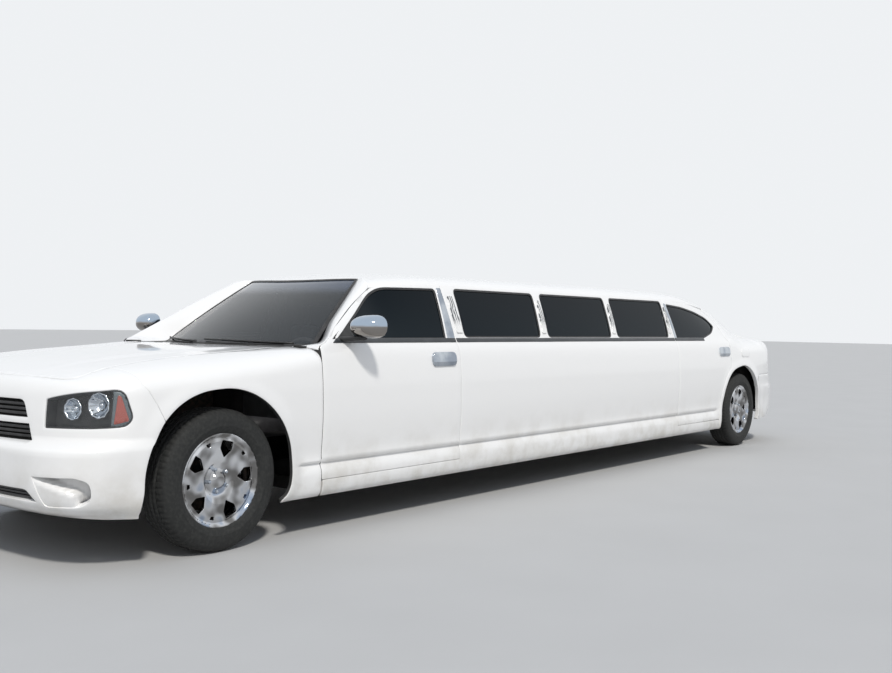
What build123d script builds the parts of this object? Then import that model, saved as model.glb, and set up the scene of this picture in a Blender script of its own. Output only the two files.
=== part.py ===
"""Stretch limousine on a full-size four-door sedan, as separate panels, glass, running gear and seats.

Millimetres. +X points forward, +Y to the car's left, +Z up. The origin is on the ground, under the
middle of the body's length and width.
"""
import os

from build123d import *

os.makedirs("parts", exist_ok=True)

# Overall sizes
wheelbase = 6350.0
front_overhang = 870.0
rear_overhang = 1164.0
half_width = 945.0
roof_z = 1490.0
track = 1600.0

body_length = front_overhang + wheelbase + rear_overhang
nose_x = body_length / 2
tail_x = -body_length / 2
front_axle_x = nose_x - front_overhang
rear_axle_x = tail_x + rear_overhang

# Heights of the body's main lines
sill_z = 195.0
door_bottom_z = 297.0
crease_z = 385.0
widest_z = 640.0
belt_z = 1017.0
rail_z = 1385.0
cowl_z = 1003.0
bonnet_front_z = 866.0
header_z = 1392.0
rear_header_z = 1450.0
deck_front_z = 1050.0
deck_rear_z = 1018.0
bumper_low_z = 250.0
rear_bumper_top_z = 690.0

# Half widths of the body's cross-section
sill_half = 885.0
belt_half = 905.0
glass_foot_half = 885.0
glass_top_half = 757.0
roof_edge_half = 700.0

# Places along the car
bonnet_front_x = front_axle_x + 745.0
cowl_x = front_axle_x - 560.0
bonnet_rear_x = cowl_x + 20
header_x = front_axle_x - 1250.0
pillar_top_x = front_axle_x - 1112.0
door_frame_top_x = front_axle_x - 1215.0
door_glass_top_x = front_axle_x - 1250.0
firewall_x = front_axle_x - 480.0
front_door_front_x = front_axle_x - 641.0
front_door_rear_x = front_axle_x - 1840.0
rear_door_front_x = rear_axle_x + 1428.0
rear_door_rear_x = rear_axle_x + 308.0
rear_bulkhead_x = rear_axle_x + 130.0
rear_header_x = rear_axle_x + 200.0
deck_front_x = rear_axle_x - 560.0
deck_rear_x = rear_axle_x - 1090.0
windscreen_bow = 0.00052

# Walls and gaps
door_wall = 115.0
frame_wall = 40.0
bumper_wall = 90.0
firewall_wall = 50.0
floor_top_z = 285.0
floor_wall = 70.0
shelf_wall = 40.0
glass_wall = 6.0
glass_set_in = 10.0
shut_gap = 6.0
swing_gap = 14.0
fit_gap = 0.3
hinge_pin_radius = shut_gap / 2 - fit_gap
door_pin_length = 100.0
lid_pin_length = 80.0
lid_pin_y = 400.0

# Wheels
tyre_radius = 355.5
tyre_width = 215.0
rim_radius = 222.0
rim_width = 186.0
spoke_count = 5
spoke_width = 74.0
wheel_pilot_radius = 30.0
disc_radius = 152.0
disc_wall = 26.0
final_drive_radius = 115.0
kingpin_y = 700.0
kingpin_radius = 22.0
kingpin_length = 284.0
arm_eye_radius = 24.0
arm_wall = 24.0
front_arch_radius = 436.0
front_arch_x = front_axle_x + 15.0
front_arch_z = 377.0
rear_arch_radius = 398.0
rear_arch_x = rear_axle_x + 35.0
rear_arch_z = 388.0
front_housing_y = 500.0
rear_housing_y = 650.0
housing_wall = 30.0
wheel_y = track / 2

# Number plate screws
plate_spacing = 178.0
plate_hole_radius = 3.0
plate_front_z = 470.0
plate_rear_z = 850.0
plate_seat_depth = 6.0
plate_seat_half = 160.0
plate_seat_height = 120.0

# Bonnet, boot lid and cabin width
bonnet_half = 670.0
boot_half = 700.0
cabin_half = half_width - door_wall
engine_bay_half = front_housing_y - housing_wall
door_inner_y = roof_edge_half - 10
tunnel_half = 110.0
tunnel_top_z = 430.0
tunnel_wall = 30.0
axle_tunnel_z = 520.0
boot_floor_z = 560.0

# Fixed windows of the stretched middle
window_count = 3
window_low_z = 1052.0
window_high_z = 1368.0
window_corner = 45.0
first_pillar = 122.0
window_pillar = 130.0
last_pillar = 85.0
window_span = front_door_rear_x - first_pillar - (rear_door_front_x + last_pillar)
window_width = (window_span - (window_count - 1) * window_pillar) / window_count
window_pitch = window_width + window_pillar
window_first_x = front_door_rear_x - first_pillar - window_width / 2

far = body_length
side_names = {1: "left", -1: "right"}


def side_profile(inset):
    """Silhouette seen from the side, drawn in from the outer skin by inset."""
    with BuildSketch(Plane.XZ) as profile:
        with BuildLine():
            Polyline(
                (nose_x - 430, sill_z),
                (nose_x - 80, bumper_low_z),
                (nose_x, bumper_low_z + 80),
                (nose_x, 560),
                (nose_x - 35, 600),
                (nose_x - 55, 790),
                (bonnet_front_x, bonnet_front_z),
            )
            ThreePointArc(
                (bonnet_front_x, bonnet_front_z),
                ((bonnet_front_x + cowl_x) / 2, (bonnet_front_z + cowl_z) / 2 + 40),
                (cowl_x, cowl_z),
            )
            Line((cowl_x, cowl_z), (pillar_top_x, header_z))
            ThreePointArc((pillar_top_x, header_z), (header_x - 400, roof_z - 30), (header_x - 1150, roof_z))
            Line((header_x - 1150, roof_z), (rear_header_x + 850, roof_z))
            ThreePointArc(
                (rear_header_x + 850, roof_z),
                (rear_header_x + 400, roof_z - 14),
                (rear_header_x, rear_header_z),
            )
            Line((rear_header_x, rear_header_z), (deck_front_x, deck_front_z))
            ThreePointArc(
                (deck_front_x, deck_front_z),
                ((deck_front_x + deck_rear_x) / 2, (deck_front_z + deck_rear_z) / 2 + 6),
                (deck_rear_x, deck_rear_z),
            )
            Polyline(
                (deck_rear_x, deck_rear_z),
                (tail_x + 24, deck_rear_z - 35),
                (tail_x + 14, rear_bumper_top_z + 20),
                (tail_x, rear_bumper_top_z - 10),
                (tail_x, 430),
                (tail_x + 44, 295),
                (rear_axle_x - 650, bumper_low_z),
                (rear_axle_x - 430, sill_z),
                (nose_x - 430, sill_z),
            )
        make_face()
        if inset:
            offset(amount=-inset, kind=Kind.ARC, mode=Mode.REPLACE)
    return profile.sketch


def plan_outline(inset):
    """Outline seen from above, with rounded corners at the nose and the tail."""
    with BuildSketch() as plan:
        with BuildLine():
            ThreePointArc((nose_x, 0), (nose_x - 18, 300), (nose_x - 70, 600))
            ThreePointArc((nose_x - 70, 600), (nose_x - 165, 790), (nose_x - 470, half_width - 15))
            Line((nose_x - 470, half_width - 15), (nose_x - 1170, half_width))
            Line((nose_x - 1170, half_width), (rear_axle_x - 200, half_width))
            ThreePointArc(
                (rear_axle_x - 200, half_width),
                (rear_axle_x - 480, half_width - 12),
                (rear_axle_x - 760, half_width - 50),
            )
            ThreePointArc(
                (rear_axle_x - 760, half_width - 50), (tail_x + 190, half_width - 125), (tail_x + 84, 690)
            )
            ThreePointArc((tail_x + 84, 690), (tail_x + 22, 350), (tail_x, 0))
            mirror(about=Plane.XZ)
        make_face()
        if inset:
            offset(amount=-inset, kind=Kind.ARC, mode=Mode.REPLACE)
    return plan.sketch


def cross_section(inset):
    """Section across the car: sill, crease, bulging side, belt, leaning glass and crowned roof."""
    with BuildSketch(Plane.YZ) as section:
        with BuildLine():
            Polyline(
                (0, sill_z),
                (sill_half, sill_z),
                (sill_half + 25, crease_z - 85),
                (sill_half + 47, crease_z),
            )
            shoulder_y = belt_half + 28
            shoulder_z = belt_z - 110
            ThreePointArc((sill_half + 47, crease_z), (half_width, widest_z), (shoulder_y, shoulder_z))
            ThreePointArc((shoulder_y, shoulder_z), (belt_half + 20, belt_z - 45), (belt_half, belt_z))
            Polyline(
                (belt_half, belt_z),
                (glass_foot_half, window_low_z),
                (glass_top_half, window_high_z),
                (roof_edge_half, window_high_z + 55),
            )
            ThreePointArc(
                (roof_edge_half, window_high_z + 55), (roof_edge_half / 2, roof_z - 17), (0, roof_z)
            )
            mirror(about=Plane.YZ)
        make_face()
        if inset:
            offset(amount=-inset, kind=Kind.ARC, mode=Mode.REPLACE)
    return section.sketch


def bonnet_crown(inset):
    """What lies above the crowned bonnet and the shoulders of the front wings."""
    with BuildSketch(Plane.YZ.offset(cowl_x)) as crown:
        with BuildLine():
            ThreePointArc((0, cowl_z + 60 - inset), (340, cowl_z + 52 - inset), (670, cowl_z + 28 - inset))
            ThreePointArc(
                (670, cowl_z + 28 - inset), (850, cowl_z - 6 - inset), (half_width + 5, cowl_z - 90 - inset)
            )
            Polyline(
                (half_width + 5, cowl_z - 90 - inset),
                (half_width + 60, cowl_z - 90 - inset),
                (half_width + 60, cowl_z + 300),
                (0, cowl_z + 300),
            )
            mirror(about=Plane.YZ)
        make_face()
    return crown.sketch


def windscreen_space(inset):
    """What lies ahead of the curved windscreen and of the two steeper windscreen pillars."""
    back = inset * 2.0
    top_z = roof_z + 60
    lean = (cowl_x - header_x) / (header_z - cowl_z)
    with BuildPart() as space:
        for z, half in ((cowl_z, 700 + inset), (top_z, 440 + inset)):
            glass_x = cowl_x - back - lean * (z - cowl_z)
            edge_x = glass_x - half**2 * windscreen_bow
            with BuildSketch(Plane.XY.offset(z - inset)):
                with BuildLine():
                    ThreePointArc((edge_x, -half), (glass_x, 0), (edge_x, half))
                    Polyline((edge_x, half), (nose_x, half), (nose_x, -half), (edge_x, -half))
                make_face()
        loft(ruled=True)
        with BuildSketch(Plane.XY.offset(cowl_z - inset)):
            with BuildLine():
                Polyline(
                    (cowl_x - 197 - back, 430),
                    (cowl_x - 175 - back, 620),
                    (cowl_x + 5 - back, 780),
                    (cowl_x + 5 - back, half_width + 60),
                    (nose_x, half_width + 60),
                    (nose_x, 430),
                    close=True,
                )
            make_face()
            mirror(about=Plane.XZ)
        extrude(amount=1000, dir=(-1.45, 0, 1))
    return space.part


def rear_window_back(inset):
    """What lies behind the curved rear window, at the deck's height."""
    forward = inset * 2.0
    with BuildSketch(Plane.XY.offset(deck_front_z - inset)) as behind:
        with BuildLine():
            ThreePointArc(
                (deck_front_x + forward, 0),
                (deck_front_x + 42 + forward, 310),
                (deck_front_x + 170 + forward, 620),
            )
            Polyline(
                (deck_front_x + 170 + forward, 620),
                (deck_front_x + 150 + forward, half_width + 60),
                (tail_x - 300, half_width + 60),
                (tail_x - 300, 0),
            )
            mirror(about=Plane.XZ)
        make_face()
    return behind.sketch


def body_block(inset):
    """The whole body as one solid, its skin drawn in by inset."""
    with BuildPart() as block:
        extrude(side_profile(inset), amount=half_width + 100, both=True)
        extrude(plan_outline(inset), amount=roof_z + 100, mode=Mode.INTERSECT)
        extrude(cross_section(inset), amount=far, both=True, mode=Mode.INTERSECT)
        extrude(
            bonnet_crown(inset),
            amount=2000,
            dir=(bonnet_front_x - cowl_x, 0, bonnet_front_z - cowl_z),
            mode=Mode.SUBTRACT,
        )
        add(windscreen_space(inset), mode=Mode.SUBTRACT)
        extrude(
            rear_window_back(inset),
            amount=1000,
            dir=(rear_header_x - deck_front_x, 0, rear_header_z - deck_front_z),
            mode=Mode.SUBTRACT,
        )
    return block.part


def span_box(x0, x1, y0, y1, z0, z1):
    """A box between two corners."""
    with BuildPart() as block:
        with Locations(((x0 + x1) / 2, (y0 + y1) / 2, (z0 + z1) / 2)):
            Box(abs(x1 - x0), abs(y1 - y0), abs(z1 - z0))
    return block.part


def side_prism(sketch, side, y_from=door_inner_y, y_to=1100.0):
    """A sketch seen from the side, carried outwards on one side of the car."""
    with BuildPart() as prism:
        extrude(sketch, amount=-side * y_to, mode=Mode.ADD)
        add(span_box(-far, far, 0, side * y_from, -100, 2000), mode=Mode.SUBTRACT)
    return prism.part


def common(*solids):
    """What all the solids share."""
    with BuildPart() as shared:
        add(solids[0])
        for solid in solids[1:]:
            add(solid, mode=Mode.INTERSECT)
    return shared.part


def less(first, *cutters):
    """The first solid without the others."""
    with BuildPart() as rest:
        add(first)
        for cutter in cutters:
            add(cutter, mode=Mode.SUBTRACT)
    return rest.part


def save(piece, name):
    """Label a finished piece and write it."""
    piece.label = name
    export_step(piece, f"parts/{name}.step")


def plate_holes(x, z):
    """The two screw holes of a number plate, along the car."""
    holes = []
    for side in (1, -1):
        with BuildPart() as hole:
            with Locations((x, side * plate_spacing / 2, z)):
                Cylinder(plate_hole_radius, 160, rotation=(0, 90, 0))
        holes.append(hole.part)
    return holes


def door_pin(front_x, side):
    """A door's hinge pin in the gap ahead of the door, with the leaf that holds it."""
    pin_x = front_x + shut_gap / 2
    pin_low_z = widest_z - door_pin_length / 2
    with BuildPart() as pin:
        with Locations((pin_x, side * half_width, widest_z)):
            Cylinder(hinge_pin_radius, door_pin_length)
        add(
            span_box(
                pin_x, pin_x + shut_gap, side * (half_width - 6), side * (half_width - 2), pin_low_z,
                pin_low_z + door_pin_length
            )
        )
    return pin.part


def lid_pins(edge_x, top_z, toward):
    """Hinge pins of the bonnet or the boot lid, in the gap beside its edge; toward points to the body."""
    pin_x = edge_x + toward * shut_gap / 2
    with BuildPart() as pins:
        for side in (1, -1):
            with Locations((pin_x, side * lid_pin_y, top_z)):
                Cylinder(hinge_pin_radius, lid_pin_length, rotation=(90, 0, 0))
            add(
                span_box(
                    pin_x, pin_x + toward * shut_gap, side * lid_pin_y - lid_pin_length / 2,
                    side * lid_pin_y + lid_pin_length / 2, top_z - 5, top_z - 1
                )
            )
    return pins.part


# Door outlines, seen from the side
def front_door_outline(grow, grow_rear):
    """The front door with its window frame; grow is the shut gap, grow_rear the gap at its rear edge."""
    with BuildSketch(Plane.XZ) as outline:
        with BuildLine():
            Polyline(
                (front_door_front_x + grow, door_bottom_z - grow),
                (front_door_front_x + grow, belt_z + 10),
                (front_door_front_x - 95 + 1.5 * grow, belt_z + 18 + grow),
                (door_frame_top_x + 1.5 * grow, rail_z + grow),
                (front_door_rear_x - grow_rear, rail_z + grow),
                (front_door_rear_x - grow_rear, door_bottom_z - grow),
                close=True,
            )
        make_face()
    return outline.sketch


def rear_door_outline(grow, grow_rear):
    """The rear door, whose rear edge follows the wheel arch and the roof's fall."""
    reach = rear_arch_radius + 62 - grow_rear
    foot_x = rear_arch_x + (reach**2 - (rear_arch_z - door_bottom_z + grow) ** 2) ** 0.5
    edge_x = rear_door_rear_x - grow_rear
    edge_z = rear_arch_z + (reach**2 - (edge_x - rear_arch_x) ** 2) ** 0.5
    turn = reach * 0.5**0.5
    with BuildSketch(Plane.XZ) as outline:
        with BuildLine():
            Polyline(
                (foot_x, door_bottom_z - grow),
                (rear_door_front_x + grow, door_bottom_z - grow),
                (rear_door_front_x + grow, rail_z - 5 + grow),
                (rear_door_front_x - 120, rail_z - 5 + grow),
            )
            ThreePointArc(
                (rear_door_front_x - 120, rail_z - 5 + grow),
                (rear_door_rear_x + 400, 1340 + grow_rear),
                (rear_door_rear_x + 110 - grow_rear, 1200 + grow_rear),
            )
            Polyline(
                (rear_door_rear_x + 110 - grow_rear, 1200 + grow_rear),
                (edge_x, belt_z),
                (edge_x, edge_z),
            )
            ThreePointArc(
                (edge_x, edge_z), (rear_arch_x + turn, rear_arch_z + turn), (foot_x, door_bottom_z - grow)
            )
        make_face()
    return outline.sketch


def front_door_window(grow):
    """Glass of the front door: sloping front edge and upright rear edge."""
    with BuildSketch(Plane.XZ) as window:
        with BuildLine():
            Polyline(
                (front_door_front_x - 165 + grow, window_low_z - 20 - grow),
                (door_glass_top_x + grow, window_high_z - 14 + grow),
                (front_door_rear_x + 68 - grow, window_high_z - 14 + grow),
                (front_door_rear_x + 68 - grow, window_low_z - 20 - grow),
                close=True,
            )
        make_face()
        fillet(window.vertices(), 18)
    return window.sketch


def rear_door_window(grow):
    """Glass of the rear door: its top falls in an arc to a blunt rear tip."""
    with BuildSketch(Plane.XZ) as window:
        with BuildLine():
            ThreePointArc(
                (rear_door_front_x - 60 + grow, 1338 + grow),
                (rear_door_front_x - 560, 1305 + grow),
                (rear_door_rear_x + 235 - grow, 1180 + grow),
            )
            Polyline(
                (rear_door_rear_x + 235 - grow, 1180 + grow),
                (rear_door_rear_x + 420 - grow, window_low_z - 10 - grow),
                (rear_door_front_x - 60 + grow, window_low_z - 10 - grow),
                (rear_door_front_x - 60 + grow, 1338 + grow),
            )
        make_face()
    return window.sketch


def middle_windows(grow):
    """The fixed windows between the doors."""
    with BuildSketch(Plane.XZ) as windows:
        for index in range(window_count):
            centre_x = window_first_x - index * window_pitch
            with Locations((centre_x, (window_low_z + window_high_z) / 2)):
                RectangleRounded(
                    window_width + 2 * grow, window_high_z - window_low_z + 2 * grow, window_corner
                )
    return windows.sketch


# The body as solids that the panels are cut from
outer = body_block(0)
frame_inner = body_block(frame_wall)
skin_inner = body_block(bumper_wall)
glass_outer = body_block(glass_set_in)
glass_inner = body_block(glass_set_in + glass_wall)

tunnel_rear_x = rear_bulkhead_x - 200
tunnel_front_x = firewall_x + 200
tunnel = span_box(tunnel_rear_x, tunnel_front_x, -tunnel_half, tunnel_half, 0, tunnel_top_z)
tunnel_bore_half = tunnel_half - tunnel_wall
tunnel_bore = span_box(
    tunnel_rear_x, tunnel_front_x, -tunnel_bore_half, tunnel_bore_half, 0, tunnel_top_z - tunnel_wall
)
cowl_box = span_box(bonnet_rear_x - 60, firewall_x + 10, -far, far, cowl_z - 123, 2000)
cabin_space = less(
    common(frame_inner, span_box(rear_bulkhead_x, firewall_x, -cabin_half, cabin_half, floor_top_z, 2000)),
    tunnel,
    cowl_box,
)
engine_space = common(
    frame_inner,
    span_box(firewall_x + firewall_wall, nose_x, -engine_bay_half, engine_bay_half, -100, 2000),
)
nose_space = common(
    skin_inner, span_box(front_arch_x + front_arch_radius + 25, nose_x, -far, far, -100, 2000)
)
boot_inner_half = rear_housing_y - housing_wall
boot_mouth_z = rear_bumper_top_z + 36
with BuildPart() as boot_box:
    add(
        span_box(
            tail_x + bumper_wall + 20, rear_bulkhead_x - firewall_wall, -boot_inner_half, boot_inner_half,
            boot_floor_z, belt_z - 57
        )
    )
    add(span_box(tail_x, deck_front_x - 30, -boot_inner_half, boot_inner_half, boot_mouth_z, 2000))
boot_space = common(frame_inner, boot_box.part)
shelf_space = common(
    frame_inner,
    span_box(deck_front_x + 60, rear_bulkhead_x, -cabin_half, cabin_half, belt_z - 57 + shelf_wall, 2000),
)
with BuildPart() as under_space:
    add(
        span_box(
            tail_x + bumper_wall + 60, rear_bulkhead_x - 20, -boot_inner_half, boot_inner_half,
            -100, axle_tunnel_z
        )
    )
    add(
        span_box(
            rear_axle_x - 90, rear_axle_x + 90, -rear_housing_y - 5, rear_housing_y + 5,
            -100, axle_tunnel_z
        )
    )
    add(
        span_box(
            rear_bulkhead_x - 30, firewall_x + firewall_wall + 5, -cabin_half + 40, cabin_half - 40, -100,
            floor_top_z - floor_wall
        )
    )
    arm_slot_z = tyre_radius - kingpin_length / 2 + 40
    arm_slot_y = front_housing_y + 5
    add(span_box(front_axle_x - 58, front_axle_x + 58, -arm_slot_y, arm_slot_y, -100, arm_slot_z))
engine_open = span_box(
    firewall_x + firewall_wall, front_arch_x + front_arch_radius, -engine_bay_half, engine_bay_half, -100, 600
)

with BuildPart() as wheel_spaces:
    for arch_x, arch_z, radius, inner_y in (
        (front_arch_x, front_arch_z, front_arch_radius, front_housing_y),
        (rear_arch_x, rear_arch_z, rear_arch_radius, rear_housing_y),
    ):
        for side in (1, -1):
            depth = half_width + 100 - inner_y
            with Locations((arch_x, side * (inner_y + depth / 2), arch_z)):
                Cylinder(radius, depth, rotation=(90, 0, 0))
            with Locations((arch_x, side * (inner_y + depth / 2), arch_z - 300)):
                Box(2 * radius * 0.96, depth, 480)

with BuildPart() as windscreen_opening:
    with BuildSketch(Plane.YZ.offset(header_x - 450)):
        with BuildLine():
            Polyline(
                (-690, cowl_z + 6), (-500, rail_z - 2), (500, rail_z - 2), (690, cowl_z + 6), close=True
            )
        make_face()
    extrude(amount=cowl_x - header_x + 510)

with BuildPart() as rear_window_opening:
    with BuildSketch(Plane.YZ.offset(deck_front_x - 30)):
        with BuildLine():
            Polyline(
                (-640, deck_front_z + 12), (-520, rear_header_z - 30), (520, rear_header_z - 30),
                (640, deck_front_z + 12), close=True,
            )
        make_face()
    extrude(amount=rear_header_x - deck_front_x + 350)

shell = less(
    outer,
    cabin_space,
    engine_space,
    nose_space,
    boot_space,
    shelf_space,
    under_space.part,
    engine_open,
    tunnel_bore,
    wheel_spaces.part,
    windscreen_opening.part,
    rear_window_opening.part,
)

# Doors with their glass, from one table: name, outline, window, its own side
door_shapes = {
    "front": (front_door_outline, front_door_window),
    "rear": (rear_door_outline, rear_door_window),
}
door_openings = []
for place, (outline, window) in door_shapes.items():
    for side, side_name in side_names.items():
        door_prism = side_prism(outline(0, 0), side)
        glass_prism = side_prism(window(0), side, glass_top_half - 35)
        door = less(common(shell, door_prism), glass_prism)
        save(door, f"door_{place}_{side_name}")
        pane = common(less(glass_outer, glass_inner), glass_prism)
        save(pane, f"door_glass_{place}_{side_name}")
        door_openings.append(side_prism(outline(shut_gap, swing_gap), side, door_inner_y - shut_gap))

body = less(shell, *door_openings)

# Bonnet, hinged along its rear edge
bonnet_lip_x = bonnet_front_x + 12
bonnet_region = less(
    span_box(bonnet_rear_x, bonnet_lip_x, -bonnet_half, bonnet_half, bonnet_front_z - 30, 1200), frame_inner
)
under_lids = body_block(frame_wall + shut_gap)
bonnet_opening = less(
    span_box(
        bonnet_rear_x - shut_gap, bonnet_lip_x + shut_gap + 3, -bonnet_half - shut_gap,
        bonnet_half + shut_gap, bonnet_front_z - 39, 1200
    ),
    under_lids,
)
save(common(outer, bonnet_region), "bonnet")

# Boot lid: the deck and the upright face down to the bumper
boot_edge_x = deck_front_x - 30
boot_region = less(
    span_box(tail_x - 50, boot_edge_x, -boot_half, boot_half, rear_bumper_top_z + 26, 1300), frame_inner
)
boot_opening = less(
    span_box(
        tail_x - 50, boot_edge_x + shut_gap, -boot_half - shut_gap, boot_half + shut_gap,
        rear_bumper_top_z + 26 - shut_gap, 1300
    ),
    under_lids,
)
save(less(common(outer, boot_region), *plate_holes(tail_x + 20, plate_rear_z)), "boot_lid")
body = less(body, bonnet_opening, boot_opening)

# Headlamps and tail lamps, seen from the front: height and half-width pairs
with BuildPart() as headlamp_prism:
    with BuildSketch(Plane.YZ.offset(front_arch_x + 330)):
        with BuildLine():
            Polyline(
                (565, 640), (575, 774), (760, 806), (930, 832),
                (960, 760), (940, 690), (905, 662), (740, 648),
                close=True,
            )
        make_face()
        mirror(about=Plane.YZ)
    extrude(amount=700)
lamp_body = less(headlamp_prism.part, body_block(bumper_wall - 20))
save(common(outer, lamp_body), "headlamps")

with BuildPart() as tail_lamp_prism:
    with BuildSketch(Plane.YZ.offset(tail_x - 50)):
        with BuildLine():
            Polyline((715, 722), (715, 975), (800, 985), (940, 960), (940, 770), (860, 722), close=True)
        make_face()
        mirror(about=Plane.YZ)
    extrude(amount=330)
tail_lamp_body = less(tail_lamp_prism.part, body_block(frame_wall))
save(common(body, tail_lamp_body), "tail_lamps")
body = less(body, headlamp_prism.part, tail_lamp_body)

# Grille: an upper opening with slats and a thick bar, and a lower intake
grille_half = 545.0
intake_half = 620.0
with BuildPart() as grille_openings:
    add(span_box(nose_x - 200, nose_x + 50, -grille_half, grille_half, 600, 768))
    add(span_box(nose_x - 200, nose_x + 50, -intake_half, intake_half, 318, 380))
with BuildPart() as grille_bars:
    for low_z in (604, 625, 646, 700, 721, 742):
        add(span_box(nose_x - 200, nose_x + 50, -grille_half, grille_half, low_z, low_z + 9))
    add(span_box(nose_x - 200, nose_x + 50, -grille_half, grille_half, 664, 694))
    for post_y in (-grille_half + 10, 0, grille_half - 10):
        add(span_box(nose_x - 200, nose_x + 50, post_y - 10, post_y + 10, 600, 768))
    for low_z in (322, 342, 362):
        add(span_box(nose_x - 200, nose_x + 50, -intake_half, intake_half, low_z, low_z + 9))
    for post_y in (-intake_half + 10, 0, intake_half - 10):
        add(span_box(nose_x - 200, nose_x + 50, post_y - 10, post_y + 10, 318, 380))
grille_layer = less(glass_outer, body_block(glass_set_in + 40))
save(common(grille_layer, grille_bars.part), "grilles")
body = less(body, grille_openings.part)

# Front and rear bumpers
with BuildPart() as front_bumper_region:
    with BuildSketch(Plane.XZ):
        with BuildLine():
            Polyline(
                (front_axle_x + 524, 1200), (front_axle_x + 524, 897), (front_axle_x + 393, 742),
                (front_axle_x + 340, 655), (front_axle_x + 340, 0), (nose_x + 100, 0), (nose_x + 100, 1200),
                close=True,
            )
        make_face()
    extrude(amount=1100, both=True)
plate_seat = span_box(
    nose_x - plate_seat_depth, nose_x + 50, -plate_seat_half, plate_seat_half,
    plate_front_z - plate_seat_height / 2, plate_front_z + plate_seat_height / 2
)
front_bumper = less(
    common(body, front_bumper_region.part), plate_seat, *plate_holes(nose_x - 20, plate_front_z)
)
save(front_bumper, "front_bumper")
body = less(body, front_bumper_region.part)

rear_bumper_region = less(
    span_box(tail_x - 50, rear_arch_x - 340, -1100, 1100, 0, rear_bumper_top_z),
    skin_inner,
)
save(common(body, rear_bumper_region), "rear_bumper")
body = less(body, rear_bumper_region)

# Front wings, from the bumper to the front doors, over the hinge pillars
hinge_pillar_x = front_door_front_x + shut_gap
pillar_foot = span_box(hinge_pillar_x, hinge_pillar_x + 47, -far, far, cowl_z - 60, 2000)
for side, side_name in side_names.items():
    hinge_pillar = common(
        frame_inner,
        span_box(
            hinge_pillar_x, firewall_x + firewall_wall, side * (cabin_half - 20), side * 1100, 0, 2000
        ),
    )
    wing_region = less(
        span_box(hinge_pillar_x, nose_x, side * engine_bay_half, side * 1100, 0, 1200),
        hinge_pillar,
        pillar_foot,
    )
    with BuildPart() as wing:
        add(common(body, wing_region))
        add(door_pin(front_door_front_x, side))
    save(wing.part, f"front_wing_{side_name}")
    body = less(body, wing_region)

# Roof between the rails
roof_region = span_box(
    rear_header_x - 400, header_x + 200, -door_inner_y, door_inner_y, rail_z - 2, 2000
)
save(common(body, roof_region), "roof_panel")
body = less(body, roof_region)

# Body sides: sill, pillars, window frames and rear wing of each side
window_cuts = {side: side_prism(middle_windows(0), side) for side in side_names}
for side, side_name in side_names.items():
    with BuildPart() as side_region:
        with BuildSketch(Plane.YZ.offset(tail_x - 50)):
            with BuildLine():
                Polyline(
                    (side * (cabin_half - 20), 0),
                    (side * (cabin_half - 20), cowl_z + 6),
                    (side * 480, cowl_z + 6),
                    (side * 480, 2000),
                    (side * 1100, 2000),
                    (side * 1100, 0),
                    close=True,
                )
            make_face()
        extrude(amount=body_length + 100)
    with BuildPart() as body_side:
        add(less(common(body, side_region.part), window_cuts[side]))
        add(door_pin(rear_door_front_x, side))
    save(body_side.part, f"body_side_{side_name}")
    body = less(body, side_region.part)
    if side == 1:
        panes = common(less(glass_outer, glass_inner), window_cuts[side])

with BuildPart() as side_windows:
    add(panes)
    mirror(panes, about=Plane.XZ)
save(side_windows.part, "side_windows")

with BuildPart() as floor_pan:
    add(body)
    add(lid_pins(bonnet_rear_x, cowl_z, -1))
    add(lid_pins(boot_edge_x, deck_front_z - 1, 1))
save(floor_pan.part, "floor_pan")

# Windscreen and rear window
save(common(less(glass_outer, glass_inner), windscreen_opening.part), "windscreen")
save(common(less(glass_outer, glass_inner), rear_window_opening.part), "rear_window")

# Lamps on the pillars between the side windows
with BuildPart() as pillar_lamps:
    for index in range(window_count + 1):
        lamp_x = window_first_x + window_width / 2 + window_pillar / 2 - index * window_pitch
        if index == window_count:
            lamp_x = window_first_x - window_width / 2 - (window_count - 1) * window_pitch - last_pillar / 2
        for side in (1, -1):
            lean = (glass_foot_half - glass_top_half) / (window_high_z - window_low_z)
            with BuildSketch(Plane.YZ.offset(lamp_x - 22)):
                with BuildLine():
                    low = (side * (glass_foot_half + fit_gap + 0.6), window_low_z + 15)
                    high_y = glass_foot_half - lean * 255 + fit_gap + 0.6
                    Polyline(
                        low,
                        (low[0] + side * 16, low[1]),
                        (side * (high_y + 8), window_low_z + 255),
                        (side * high_y, window_low_z + 255),
                        close=True,
                    )
                make_face()
            extrude(amount=44)
save(pillar_lamps.part, "pillar_lamps")

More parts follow.
